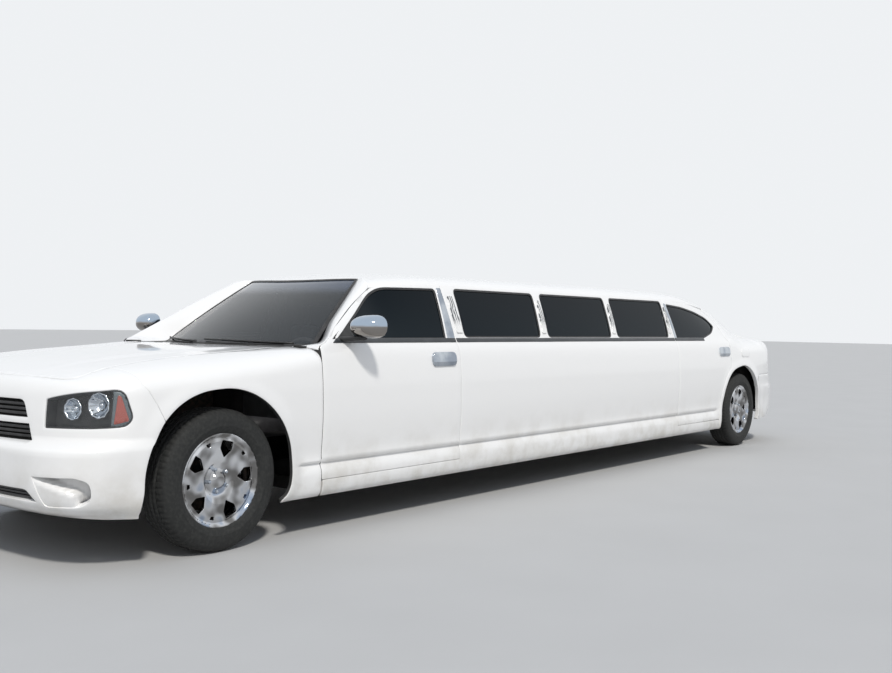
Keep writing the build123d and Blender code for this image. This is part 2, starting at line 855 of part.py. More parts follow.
# Wheels: tyre and spoked rim for each corner
corners = {
    "front_left": (front_axle_x, 1),
    "front_right": (front_axle_x, -1),
    "rear_left": (rear_axle_x, 1),
    "rear_right": (rear_axle_x, -1),
}
bead_radius = rim_radius - 6
sidewall = tyre_radius - rim_radius
for corner, (axle_x, side) in corners.items():
    hub_plane = Plane(origin=(axle_x, side * wheel_y, tyre_radius), x_dir=(1, 0, 0), z_dir=(0, side, 0))
    half = tyre_width / 2
    with BuildPart() as tyre:
        with BuildSketch(Plane(origin=hub_plane.origin, x_dir=(1, 0, 0), z_dir=(0, 0, 1))):
            with BuildLine():
                inner = bead_radius + fit_gap
                bulge = inner + sidewall * 0.5
                shoulder = tyre_radius - 14
                Line((inner, -half + 12), (inner, half - 12))
                ThreePointArc((inner, half - 12), (bulge, half), (shoulder, half - 22))
                ThreePointArc((shoulder, half - 22), (tyre_radius, 0), (shoulder, -half + 22))
                ThreePointArc((shoulder, -half + 22), (bulge, -half), (inner, -half + 12))
            make_face()
        revolve(axis=Axis((axle_x, side * wheel_y, tyre_radius), (0, 1, 0)))
    save(tyre.part, f"tyre_{corner}")

    with BuildPart() as rim:
        with BuildSketch(hub_plane.offset(-rim_width / 2)):
            Circle(bead_radius)
            Circle(bead_radius - 12, mode=Mode.SUBTRACT)
        extrude(amount=rim_width)
        with BuildSketch(hub_plane.offset(rim_width / 2 - 42)):
            Circle(75)
        extrude(amount=34)
        with BuildSketch(hub_plane.offset(rim_width / 2 - 36)):
            with PolarLocations(0, spoke_count, start_angle=90):
                with Locations(((bead_radius + 26) / 2, 0)):
                    Rectangle(bead_radius - 44, spoke_width)
        extrude(amount=24)
        with BuildSketch(hub_plane.offset(rim_width / 2 - 42)):
            Circle(wheel_pilot_radius)
        extrude(amount=22, mode=Mode.SUBTRACT)
    save(rim.part, f"rim_{corner}")

# Front knuckles: upright with kingpin, brake disc and spindle
spindle_end = wheel_y + rim_width / 2 - 42 + 18
for side, side_name in side_names.items():
    with BuildPart() as knuckle:
        with Locations((front_axle_x, side * kingpin_y, tyre_radius)):
            Cylinder(kingpin_radius, kingpin_length)
        upright = Plane(
            origin=(front_axle_x, side * kingpin_y, tyre_radius), x_dir=(1, 0, 0), z_dir=(0, side, 0)
        )
        with BuildSketch(upright):
            Circle(45)
        extrude(amount=60)
        with BuildSketch(upright.offset(30)):
            Circle(disc_radius)
        extrude(amount=disc_wall)
        with BuildSketch(upright):
            Circle(wheel_pilot_radius - fit_gap)
        extrude(amount=spindle_end - kingpin_y)
    save(knuckle.part, f"front_knuckle_{side_name}")

# Front cross-member with lower arms, and the upper arms
arm_low_z = tyre_radius - kingpin_length / 2 - fit_gap - arm_wall
arm_high_z = tyre_radius + kingpin_length / 2 + fit_gap
with BuildPart() as front_suspension:
    add(span_box(front_axle_x - 70, front_axle_x + 70, -420, 420, arm_low_z, arm_low_z + 60))
    for side in (1, -1):
        with BuildSketch(Plane.XY.offset(arm_low_z)):
            with BuildLine():
                Polyline(
                    (front_axle_x - 60, side * 400), (front_axle_x + 60, side * 400),
                    (front_axle_x + arm_eye_radius, side * kingpin_y),
                    (front_axle_x - arm_eye_radius, side * kingpin_y),
                    close=True,
                )
            make_face()
            with Locations((front_axle_x, side * kingpin_y)):
                Circle(arm_eye_radius)
        extrude(amount=arm_wall)
        with BuildSketch(Plane.XY.offset(arm_high_z)):
            with BuildLine():
                Polyline(
                    (front_axle_x - 110, side * front_housing_y),
                    (front_axle_x + 110, side * front_housing_y),
                    (front_axle_x + arm_eye_radius, side * kingpin_y),
                    (front_axle_x - arm_eye_radius, side * kingpin_y),
                    close=True,
                )
            make_face()
            with Locations((front_axle_x, side * kingpin_y)):
                Circle(arm_eye_radius)
        extrude(amount=arm_wall)
        add(
            span_box(
                front_axle_x - 70, front_axle_x + 70, side * 300, side * engine_bay_half, arm_low_z,
                arm_low_z + 60
            )
        )
save(front_suspension.part, "front_suspension")

# Rear axle: tube, final drive, discs and spring seats
with BuildPart() as rear_axle:
    with Locations((rear_axle_x, 0, tyre_radius)):
        Cylinder(40, 2 * (wheel_y - 70), rotation=(90, 0, 0))
        Cylinder(wheel_pilot_radius - fit_gap, 2 * spindle_end, rotation=(90, 0, 0))
        Sphere(final_drive_radius)
    for side in (1, -1):
        with Locations((rear_axle_x, side * (kingpin_y + 43), tyre_radius)):
            Cylinder(disc_radius, disc_wall, rotation=(90, 0, 0))
        spring_height = axle_tunnel_z - fit_gap - tyre_radius
        with Locations((rear_axle_x, side * 540, tyre_radius + spring_height / 2)):
            Cylinder(48, spring_height)
save(rear_axle.part, "rear_axle")

# Engine, propeller shaft and exhaust
engine_low_z = arm_low_z + 60
engine = span_box(firewall_x + firewall_wall + 20, front_axle_x + 380, -300, 300, engine_low_z, 830)
save(engine, "engine_block")

shaft_front_x = firewall_x + firewall_wall + 20
shaft_rear_x = rear_axle_x + final_drive_radius
with BuildPart() as propeller_shaft:
    with Locations(((shaft_front_x + shaft_rear_x) / 2, 0, tyre_radius)):
        Cylinder(38, shaft_front_x - shaft_rear_x - 2 * fit_gap, rotation=(0, 90, 0))
save(propeller_shaft.part, "propeller_shaft")

pipe_radius = 25.0
pipe_y = -300.0
pipe_z = floor_top_z - floor_wall - pipe_radius - 8
hanger_top_z = floor_top_z - floor_wall - fit_gap
with BuildPart() as exhaust:
    with BuildLine() as pipe_path:
        FilletPolyline(
            (firewall_x - 60, pipe_y, pipe_z),
            (rear_axle_x - 520, pipe_y, pipe_z),
            (rear_axle_x - 820, pipe_y - 130, pipe_z + 45),
            (tail_x + 30, pipe_y - 130, pipe_z + 45),
            radius=200,
        )
    with BuildSketch(pipe_path.line ^ 0):
        Circle(pipe_radius)
    sweep()
    with Locations((rear_axle_x + 900, pipe_y, pipe_z - 4)):
        Box(560, 240, 66)
    for hanger_x in (firewall_x - 400, 0, rear_axle_x + 700):
        add(span_box(hanger_x - 12, hanger_x + 12, pipe_y - 12, pipe_y + 12, pipe_z, hanger_top_z))
save(exhaust.part, "exhaust")

# Dashboard and steering wheel
dash_rear_x = firewall_x - 430
with BuildPart() as dashboard:
    with BuildSketch(Plane.XZ):
        with BuildLine():
            Polyline(
                (firewall_x, 620), (firewall_x, 930), (dash_rear_x + 60, 940), (dash_rear_x, 880),
                (dash_rear_x + 60, 640), close=True,
            )
        make_face()
    extrude(amount=cabin_half - 20, both=True)
save(common(dashboard.part, cabin_space), "dashboard")

wheel_centre = (dash_rear_x - 170, 390, 860)
column_tilt = Plane(origin=wheel_centre, x_dir=(0, 1, 0), z_dir=(-0.92, 0, 0.39))
with BuildPart() as steering_wheel:
    with BuildSketch(Plane(origin=wheel_centre, x_dir=(0, 1, 0), z_dir=(0.39, 0, 0.92))):
        with Locations((190, 0)):
            Circle(14)
    revolve(axis=Axis(wheel_centre, (-0.92, 0, 0.39)))
    with BuildSketch(column_tilt.offset(-10)):
        Circle(60)
        Rectangle(376, 44)
    extrude(amount=20)
    with BuildSketch(column_tilt.offset(-10)):
        Circle(30)
    extrude(amount=-190)
steering = less(steering_wheel.part, dashboard.part)
save(steering, "steering_wheel")

# Seats as plain closed solids
seat_floor_z = floor_top_z + fit_gap


def seat_block(x_back, depth, y0, y1, seat_z, back_z, back_wall):
    """A seat facing forward: cushion and upright back in one."""
    with BuildPart() as seat:
        with BuildSketch(Plane.XZ):
            with BuildLine():
                Polyline(
                    (x_back, seat_floor_z), (x_back + depth, seat_floor_z),
                    (x_back + depth, seat_z), (x_back + back_wall, seat_z - 20),
                    (x_back + back_wall - 40, back_z), (x_back - 60, back_z),
                    close=True,
                )
            make_face()
        extrude(amount=-(y1 - y0))
    return seat.part.translate((0, y0, 0))


front_seat_x = front_door_rear_x + 100
with BuildPart() as front_seats:
    add(seat_block(front_seat_x, 660, 140, 660, 570, 1120, 170))
    add(seat_block(front_seat_x, 660, -660, -140, 570, 1120, 170))
save(front_seats.part, "front_seats")

partition_x = front_door_rear_x - 60
with BuildPart() as partition:
    add(common(cabin_space, span_box(partition_x - 60, partition_x, -cabin_half, cabin_half, 0, 2000)))
    add(span_box(partition_x - 60, partition_x, -560, 560, 960, 1260), mode=Mode.SUBTRACT)
save(partition.part, "partition")

bench_front_x = partition_x - 180
bench_rear_x = rear_door_front_x + 80
with BuildPart() as cabin_benches:
    add(seat_block(rear_bulkhead_x + 80, 640, -600, 600, 600, 1010, 190))
    with BuildSketch(Plane.YZ.offset(bench_rear_x)):
        with BuildLine():
            Polyline(
                (-cabin_half + 12, seat_floor_z), (-300, seat_floor_z), (-300, 600),
                (-cabin_half + 150, 585), (-cabin_half + 110, 980), (-cabin_half + 12, 980), close=True,
            )
        make_face()
    extrude(amount=bench_front_x - bench_rear_x)
    add(
        span_box(
            rear_bulkhead_x - 200, firewall_x, -tunnel_half - fit_gap, tunnel_half + fit_gap, 0,
            tunnel_top_z + fit_gap
        ),
        mode=Mode.SUBTRACT,
    )
save(cabin_benches.part, "cabin_benches")

# Door mirrors on their feet
mirror_x = front_axle_x - 935
for side, side_name in side_names.items():
    with BuildPart() as mirror_piece:
        with BuildSketch(Plane.YZ.offset(mirror_x)):
            with Locations((side * 1030, 1122)):
                RectangleRounded(205, 132, 45)
        extrude(amount=110)
        with BuildSketch(Plane.YZ.offset(mirror_x + 20)):
            with BuildLine():
                Polyline(
                    (side * 880, 1000), (side * 915, 1000), (side * 990, 1075), (side * 985, 1120),
                    (side * 880, 1048), close=True,
                )
            make_face()
        extrude(amount=60)
    save(less(mirror_piece.part, outer, outer.translate((0, side * fit_gap, 0))), f"mirror_{side_name}")
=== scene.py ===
# %% [markdown]
# # A stretch limousine, built as surfaces over a CAD frame
#
# The CAD model gives every panel its place, its size and its joints. This lesson dresses it: each
# outer panel becomes a smooth sheet worked out with numpy, and each finish is made from shader nodes.

# %% Load the frame
import math

import bmesh
import bpy
import numpy as np
from mathutils import Matrix, Vector
from mathutils.geometry import delaunay_2d_cdt


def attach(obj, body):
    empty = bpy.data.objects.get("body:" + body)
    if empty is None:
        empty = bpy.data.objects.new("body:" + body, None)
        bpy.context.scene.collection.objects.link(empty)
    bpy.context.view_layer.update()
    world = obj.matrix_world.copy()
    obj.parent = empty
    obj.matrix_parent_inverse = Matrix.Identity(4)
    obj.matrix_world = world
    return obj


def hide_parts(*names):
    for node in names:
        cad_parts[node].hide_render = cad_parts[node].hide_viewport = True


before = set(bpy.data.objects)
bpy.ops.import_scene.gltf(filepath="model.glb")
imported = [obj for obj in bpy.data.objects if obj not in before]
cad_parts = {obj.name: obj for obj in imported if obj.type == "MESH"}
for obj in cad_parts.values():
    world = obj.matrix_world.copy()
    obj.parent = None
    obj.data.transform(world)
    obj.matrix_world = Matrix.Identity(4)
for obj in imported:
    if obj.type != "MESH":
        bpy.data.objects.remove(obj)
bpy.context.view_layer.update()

# %% [markdown]
# ## Camera
#
# A photograph fixes the viewpoint. The place and the three angles below were fitted to the wheels, the
# door lines and the windows, so that the render lies over the photograph.

# %% Camera
image_width = 892
sensor_mm = 36
focal_px = 1012.9
camera_place = (6.510, 4.847, 1.138)
yaw, pitch, roll = -2.4654, -0.0118, 0.0158

forward = np.array([math.cos(yaw) * math.cos(pitch), math.sin(yaw) * math.cos(pitch), math.sin(pitch)])
right = np.cross(forward, [0, 0, 1])
right /= np.linalg.norm(right)
up = np.cross(right, forward)
right, up = (math.cos(roll) * right + math.sin(roll) * up, math.cos(roll) * up - math.sin(roll) * right)

lens = bpy.data.cameras.new("camera")
lens.sensor_width = sensor_mm
lens.lens = sensor_mm * focal_px / image_width
lens.clip_end = 200
camera = bpy.data.objects.new("camera", lens)
bpy.context.scene.collection.objects.link(camera)
facing = Matrix([[right[i], up[i], -forward[i]] for i in range(3)]).to_4x4()
camera.matrix_world = Matrix.Translation(camera_place) @ facing
bpy.context.scene.camera = camera
print("lens", round(lens.lens, 2), "mm")

# %% [markdown]
# ## Shader maths as Python expressions
#
# Node trees are easier to read as formulas. The class below wraps one socket, so that adding or
# multiplying two of them adds a Math node. Every node comes from one function, which first sets the
# node's own settings and then gives each input a value or a link.


# %% A socket that can be used in a formula
def shader_node(tree, kind, settings, output, inputs):
    """A node of any kind: its settings first, then a value or a link for each named or numbered input."""
    made = tree.nodes.new(kind)
    for key, value in settings.items():
        if key == "stops":
            for stop, (position, colour) in zip(made.color_ramp.elements, value):
                stop.position = position
                stop.color = (*colour, 1.0)
        else:
            setattr(made, key, value)
    for name, value in inputs.items():
        if isinstance(value, Socket):
            tree.links.new(value.link, made.inputs[name])
        else:
            made.inputs[name].default_value = value
    return Socket(tree, made.outputs[output])


class Socket:
    """A shader socket: operators on it add Math nodes to its tree."""

    def __init__(self, tree, link):
        self.tree = tree
        self.link = link

    def _math(self, operation, *values):
        """A Math node that works on the values, of which at least one is a socket."""
        return shader_node(self.tree, "ShaderNodeMath", {"operation": operation}, 0, dict(enumerate(values)))

    def __add__(self, other):
        return self._math("ADD", self, other)

    __radd__ = __add__

    def __mul__(self, other):
        return self._math("MULTIPLY", self, other)

    __rmul__ = __mul__

    def __sub__(self, other):
        return self._math("SUBTRACT", self, other)

    def __rsub__(self, other):
        return self._math("SUBTRACT", other, self)

    def step(self, low, high):
        """0 below low, 1 above high, and a smooth rise between."""
        ends = {"Value": self, "From Min": low, "From Max": high}
        return shader_node(self.tree, "ShaderNodeMapRange", {"interpolation_type": "SMOOTHSTEP"}, 0, ends)


class Finish:
    """A material in the making: constants set its shader's own sockets, and feed() links the others."""

    def __init__(self, name, **constants):
        self.material = bpy.data.materials.new(name)
        self.material.use_nodes = True
        self.tree = self.material.node_tree
        self.shader = self.tree.nodes["Principled BSDF"]
        for socket, value in constants.items():
            self.shader.inputs[socket.replace("_", " ")].default_value = value
        self.place = self.node("ShaderNodeTexCoord", output="Object")

    def node(self, kind, settings=None, output=0, **links):
        """A node in this material; an underscore in an input's name stands for a space."""
        inputs = {name.replace("_", " "): value for name, value in links.items()}
        return shader_node(self.tree, kind, settings or {}, output, inputs)

    def noise(self, scale, detail=3.0, roughness=0.5):
        """Noise over the object's own coordinates, scale cells to the metre."""
        sizes = {"Scale": scale, "Detail": detail, "Roughness": roughness}
        return self.node("ShaderNodeTexNoise", Vector=self.place, **sizes)

    def axis(self, name):
        """The place along X, Y or Z, in metres."""
        return self.node("ShaderNodeSeparateXYZ", output=name, Vector=self.place)

    def blend(self, mask, first, second):
        """The first colour where the mask is 0, the second where it is 1."""
        colours = [colour if isinstance(colour, Socket) else (*colour, 1.0) for colour in (first, second)]
        inputs = {0: mask, 6: colours[0], 7: colours[1]}
        return shader_node(self.tree, "ShaderNodeMix", {"data_type": "RGBA"}, 2, inputs)

    def feed(self, socket, value):
        """Links a value to one of the shader's own sockets."""
        self.tree.links.new(value.link, self.shader.inputs[socket])

    def mottle(self, scale, first, second, detail=3.0, edges=(0.4, 0.7)):
        """Base colour that noise mixes from two near tones; between the edges one turns into the other."""
        mask = self.noise(scale, detail)
        self.feed("Base Color", self.blend(mask.step(*edges) if edges else mask, first, second))

    def rough(self, scale, least, spread, detail=3.0):
        """Roughness that noise varies from least up to least plus spread."""
        self.feed("Roughness", self.noise(scale, detail) * spread + least)

    def bump(self, height, strength, distance):
        """Relief as deep as distance, in metres, at full strength."""
        self.feed("Normal", self.node("ShaderNodeBump", Height=height, Strength=strength, Distance=distance))

    def grain(self, scale, strength, distance, detail=3.0):
        """Relief from noise."""
        self.bump(self.noise(scale, detail), strength, distance)


# %% [markdown]
# ## Finishes
#
# White paint is not one flat white: it gathers road film low down, and its clear coat has a faint
# orange peel. Chrome is smooth metal with slight waviness; a plain studio gives it little to reflect, so
# two tones in its colour stand for light and dark surroundings.

# %% Paint and chrome
def road_film(finish, clean, dusty, low=0.20, high=0.62):
    """Colour that turns dusty towards the ground, broken up by noise."""
    height = finish.axis("Z")
    film = (1 - height.step(low, high)) * finish.noise(5.0, 6.0, 0.6).step(0.35, 0.75)
    return finish.blend(film, clean, dusty)


paint = Finish("white_paint", Roughness=0.32, Coat_Weight=1.0, Coat_Roughness=0.04, IOR=1.5)
paint.feed("Base Color", road_film(paint, (0.83, 0.83, 0.825), (0.60, 0.58, 0.54)))
paint.rough(3.0, 0.27, 0.10)
paint.grain(420.0, 0.03, 0.0004, 2.0)

chrome = Finish("chrome", Metallic=1.0, Roughness=0.06)
chrome.mottle(9.0, (0.62, 0.66, 0.70), (0.34, 0.38, 0.44), edges=(0.3, 0.7))
chrome.rough(30.0, 0.03, 0.08, 4.0)
chrome.grain(14.0, 0.05, 0.002, 1.0)

# Painted reflection: the rims are blotched dark and light for the ground and the sky they would reflect,
# with grey-blue sky patches on their lower half.
wheel_chrome = Finish("wheel_chrome", Metallic=1.0, Roughness=0.08)
shade = wheel_chrome.noise(12.0, 1.0).step(0.34, 0.64)
low_down = 1 - wheel_chrome.axis("Z").step(0.28, 0.42)
painted_sky_patch = wheel_chrome.noise(12.0, 1.0, 0.4).step(0.52, 0.66) * low_down
painted_reflection = wheel_chrome.blend(shade, (0.20, 0.195, 0.19), (0.74, 0.75, 0.77))
wheel_chrome.feed("Base Color", wheel_chrome.blend(painted_sky_patch, painted_reflection, (0.34, 0.40, 0.50)))
wheel_chrome.rough(30.0, 0.04, 0.10, 4.0)
wheel_chrome.grain(14.0, 0.10, 0.003, 1.0)

# Painted reflection: the mirror head is brown-grey below a wavy line near 1.13 m, for the ground it would
# reflect, and grey-blue above it, for the sky.
mirror_chrome = Finish("mirror_chrome", Metallic=1.0, Roughness=0.05)
painted_horizon = (mirror_chrome.axis("Z") + mirror_chrome.noise(12.0, 1.0) * 0.012).step(1.121, 1.137)
mirror_chrome.feed("Base Color", mirror_chrome.blend(painted_horizon, (0.30, 0.28, 0.26), (0.42, 0.50, 0.60)))
mirror_chrome.rough(20.0, 0.03, 0.06)
print("paint and chrome:", len(bpy.data.materials), "materials so far")

# %% [markdown]
# Tinted glass could be made see-through, but from outside it only ever looks dark, so here it is a dark,
# very smooth surface. Rubber is nearly black, and plastic trim a little lighter, each with a fine grain.

# %% Glass, rubber and trim
tint = Finish("tinted_glass", Roughness=0.02, IOR=1.18, Metallic=0.0)
towards_roof = tint.axis("Z").step(1.05, 1.38)
tint.feed("Base Color", tint.blend(towards_roof, (0.006, 0.011, 0.015), (0.004, 0.007, 0.010)))
tint.rough(8.0, 0.015, 0.02)

rubber = Finish("tyre_rubber", Roughness=0.8)
rubber.mottle(60.0, (0.011, 0.012, 0.012), (0.021, 0.022, 0.021), 5.0)
rubber.rough(90.0, 0.68, 0.2)
rubber.grain(700.0, 0.25, 0.0006, 2.0)

black_trim = Finish("black_trim", Roughness=0.45)
black_trim.mottle(25.0, (0.012, 0.012, 0.013), (0.026, 0.026, 0.027))
black_trim.grain(900.0, 0.2, 0.0003, 2.0)

# Painted shade: the returns inside the shut gaps are white metal, coloured near-black here for the shade in
# the gaps.
painted_gap_shade = Finish("painted_gap_shade", Roughness=0.9)
painted_gap_shade.mottle(20.0, (0.02, 0.02, 0.02), (0.04, 0.04, 0.04), edges=None)

grey_strip = Finish("grey_strip", Roughness=0.35)
grey_strip.mottle(12.0, (0.030, 0.034, 0.038), (0.045, 0.050, 0.055))
grey_strip.grain(500.0, 0.1, 0.0003)

# Near black: the underbody's coating is dark, and wherever this finish is used it is darkened further as
# painted shade, so the wheelhouses and the parts under the car read as deep in shade.
underside = Finish("underbody_coating_and_shade", Roughness=0.8)
underside.mottle(18.0, (0.004, 0.004, 0.004), (0.012, 0.011, 0.010), 6.0, (0.35, 0.75))
underside.grain(220.0, 0.4, 0.002, 4.0)
print("glass, rubber and trim:", len(bpy.data.materials), "materials so far")

# %% [markdown]
# A coloured lens has ribs or a grain moulded into the plastic, which scatter the light, so its relief
# matters more than its colour. Iron and steel underneath are rough and rusty, and leather has small cells.

# %% Lamp, seat and running-gear finishes
clear_lens = Finish("clear_lens", Roughness=0.02, IOR=1.5, Alpha=0.05)
clear_lens.mottle(6.0, (0.75, 0.80, 0.84), (0.85, 0.88, 0.90), edges=None)

red_lens = Finish("red_lens", Roughness=0.08, Coat_Weight=1.0)
towards_top = red_lens.axis("Z").step(0.74, 0.96)
red_lens.feed("Base Color", red_lens.blend(towards_top, (0.30, 0.008, 0.010), (0.42, 0.015, 0.014)))
ribs = red_lens.node("ShaderNodeTexWave", {"bands_direction": "Z"}, Vector=red_lens.place, Scale=30.0)
red_lens.bump(ribs, 0.2, 0.002)

amber_lens = Finish("amber_lens", Roughness=0.12, Coat_Weight=1.0)
amber_lens.mottle(40.0, (0.34, 0.055, 0.030), (0.26, 0.035, 0.020), edges=None)
amber_lens.grain(260.0, 0.3, 0.001)

fluted = Finish("fluted_lamp", Roughness=0.12, Metallic=0.35, Coat_Weight=1.0)
streaks = fluted.node(
    "ShaderNodeTexWave", {"bands_direction": "X"}, Vector=fluted.place, Scale=16.0, Distortion=6.0
)
dark_streaks = streaks.step(0.35, 0.65) * fluted.axis("Z").step(1.12, 1.19)
fluted.feed("Base Color", fluted.blend(dark_streaks, (0.86, 0.86, 0.85), (0.10, 0.11, 0.12)))
fluted.rough(60.0, 0.08, 0.15)

iron = Finish("cast_iron", Roughness=0.7, Metallic=0.6)
iron.mottle(40.0, (0.03, 0.028, 0.026), (0.07, 0.05, 0.04), 5.0, (0.4, 0.65))
iron.grain(300.0, 0.3, 0.001, 4.0)

steel = Finish("pipe_steel", Roughness=0.5, Metallic=0.9)
steel.mottle(20.0, (0.30, 0.28, 0.26), (0.22, 0.17, 0.13), 5.0)
steel.grain(200.0, 0.2, 0.001)

leather = Finish("seat_leather", Roughness=0.5)
leather.mottle(14.0, (0.045, 0.045, 0.05), (0.07, 0.07, 0.075), edges=(0.35, 0.7))
leather.bump(leather.node("ShaderNodeTexVoronoi", Vector=leather.place, Scale=420.0), 0.35, 0.0008)

soft_trim = Finish("soft_trim", Roughness=0.75)
soft_trim.mottle(10.0, (0.035, 0.036, 0.038), (0.055, 0.056, 0.058), edges=(0.35, 0.7))
soft_trim.grain(650.0, 0.3, 0.0006)
print("lamps, seats and running gear:", len(bpy.data.materials), "materials so far")

# %% [markdown]
# ## From a table to a smooth curve
#
# A panel maker works from stations: a few measured points along the car, with a fair curve drawn
# through them. The helper draws that curve without the overshoot that an ordinary spline would add.


# %% Fair curves, grids and meshes
def through(x, stations, values):
    """Cubic pieces through a table; each station's slope is the harmonic mean of the rises beside it."""
    xs, ys = np.asarray(stations, float), np.asarray(values, float)
    if xs[0] > xs[-1]:
        xs, ys = xs[::-1], ys[::-1]
    steep = np.diff(ys) / np.diff(xs)
    slope = np.concatenate((steep[:1], np.zeros(len(steep) - 1), steep[-1:]))
    before, after = steep[:-1], steep[1:]
    same = before * after > 0
    slope[1:-1] = np.where(same, 2 * before * after / np.where(same, before + after, 1.0), 0.0)
    x = np.clip(x, xs[0], xs[-1])
    i = np.clip(np.searchsorted(xs, x, side="right") - 1, 0, len(xs) - 2)
    width = xs[i + 1] - xs[i]
    t = (x - xs[i]) / width
    return (
        ys[i] * (1 + 2 * t) * (1 - t) ** 2
        + ys[i + 1] * t * t * (3 - 2 * t)
        + width * (slope[i] * t * (1 - t) ** 2 - slope[i + 1] * t * t * (1 - t))
    )


def rise(x, low, high):
    """Smooth step: 0 below low, 1 above high."""
    t = np.clip((x - low) / (high - low), 0, 1)
    return t * t * (3 - 2 * t)


def pair(a, b):
    """Two parameters as float arrays of one shape."""
    return np.broadcast_arrays(np.asarray(a, float), np.asarray(b, float))


def unit(vectors):
    """The vectors, each divided by its own length."""
    return vectors / np.maximum(np.linalg.norm(vectors, axis=-1, keepdims=True), 1e-9)


def quads(rows, columns, wrap=False):
    """Corner numbers of the quads of a grid; wrap joins the last column to the first."""
    r, c = np.meshgrid(np.arange(rows - 1), np.arange(columns if wrap else columns - 1), indexing="ij")
    following = (c + 1) % columns
    return np.stack(
        (r * columns + c, r * columns + following, (r + 1) * columns + following, (r + 1) * columns + c), -1
    ).reshape(-1, 4)


all_pieces = {}


def piece(name, points, faces, finish, body="body", stands_for=(), smooth=True, weld=0.0, closed=False):
    """Puts points and faces into a mesh that rides on a body.

    weld merges points nearer than that; closed turns the faces of a closed shell outwards."""
    mesh = bpy.data.meshes.new(name)
    mesh.from_pydata(np.asarray(points).reshape(-1, 3).tolist(), [], [list(map(int, f)) for f in faces])
    shape = bmesh.new()
    shape.from_mesh(mesh)
    if weld:
        bmesh.ops.remove_doubles(shape, verts=shape.verts, dist=weld)
    if closed:
        bmesh.ops.recalc_face_normals(shape, faces=shape.faces)
    shape.to_mesh(mesh)
    shape.free()
    mesh.polygons.foreach_set("use_smooth", [smooth] * len(mesh.polygons))
    mesh.materials.append(finish.material)
    made = bpy.data.objects.new(name, mesh)
    bpy.context.scene.collection.objects.link(made)
    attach(made, body)
    if stands_for:
        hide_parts(*stands_for)
    all_pieces[name] = made
    print(name, len(mesh.polygons), "faces")
    return made


sides = ((1, "left"), (-1, "right"))


def with_side(array, side):
    """A copy of points for side +1 (left) or mirrored for side -1 (right)."""
    out = np.array(array, float)
    out[..., 1] *= side
    return out


def turned_faces(faces, side):
    """Faces for a side: the mirrored side's corners run the other way round."""
    faces = np.asarray(faces)
    return faces if side > 0 else faces[:, ::-1]


# %% [markdown]
# ## Cutting a panel out of a surface
#
# A door skin is a piece of the car's surface inside a drawn outline. Points on a grid fill the outline,
# Delaunay triangles join them, and each point is then lifted onto the surface. Around the edge the metal
# turns in over a small radius, as a pressed panel does, which gives real shut gaps.


# %% Outlines
def rounded(corners, step=0.02):
    """A closed outline from (a, b, radius) corners: straight runs, and a quadratic curve at each corner."""
    out = []
    count = len(corners)
    for i, (a, b, radius) in enumerate(corners):
        here = np.array([a, b])
        before = np.array(corners[i - 1][:2]) - here
        after = np.array(corners[(i + 1) % count][:2]) - here
        if radius <= 0:
            out.append(here[None])
            continue
        cut_a = before / np.linalg.norm(before) * min(radius, np.linalg.norm(before) * 0.49)
        cut_b = after / np.linalg.norm(after) * min(radius, np.linalg.norm(after) * 0.49)
        t = np.linspace(0, 1, max(4, int(radius / 0.008)))[:, None]
        out.append(here + cut_a * (1 - t) ** 2 + cut_b * t**2)
    return fine(np.concatenate(out), step)


def fine(loop, step=0.02):
    """The closed loop with points added so that no run is longer than step."""
    loop = np.asarray(loop, float)
    out = []
    for here, there in zip(loop, np.roll(loop, -1, axis=0)):
        gap = np.linalg.norm(there - here)
        if gap < 1e-6:
            continue
        t = np.arange(max(1, math.ceil(gap / step))) / max(1, math.ceil(gap / step))
        out.append(here + (there - here) * t[:, None])
    return np.concatenate(out)


def area_of(loop):
    """Signed area: positive where the loop runs anticlockwise."""
    x, y = loop[:, 0], loop[:, 1]
    return 0.5 * np.sum(x * np.roll(y, -1) - np.roll(x, -1) * y)


def crossings(points, loops):
    """For each point, whether a ray along +a crosses the loops an odd number of times."""
    inside = np.zeros(len(points), bool)
    for loop in loops:
        a, b = loop, np.roll(loop, -1, axis=0)
        for k in range(0, len(points), 4000):
            p = points[k : k + 4000]
            spans = (a[None, :, 1] > p[:, None, 1]) != (b[None, :, 1] > p[:, None, 1])
            run = b[None, :, 1] - a[None, :, 1]
            climbed = (p[:, None, 1] - a[None, :, 1]) * (b[None, :, 0] - a[None, :, 0])
            at = a[None, :, 0] + climbed / np.where(run == 0, 1e-12, run)
            inside[k : k + 4000] ^= (np.sum(spans & (p[:, None, 0] < at), axis=1) % 2).astype(bool)
    return inside


def near_edge(points, loops, reach):
    """Whether a point lies within reach of any loop's runs."""
    close = np.zeros(len(points), bool)
    for loop in loops:
        a, d = loop, np.roll(loop, -1, axis=0) - loop
        length = np.maximum(np.sum(d * d, axis=1), 1e-12)
        for k in range(0, len(points), 2000):
            p = points[k : k + 2000]
            t = np.clip(np.sum((p[:, None] - a[None]) * d[None], axis=2) / length, 0, 1)
            gap = np.linalg.norm(p[:, None] - a[None] - t[..., None] * d[None], axis=2)
            close[k : k + 2000] |= gap.min(axis=1) < reach
    return close


# %% Panels from outlines
FORWARD = np.array([1.0, 0, 0])
TO_LEFT = np.array([0, 1.0, 0])
UPWARD = np.array([0, 0, 1.0])


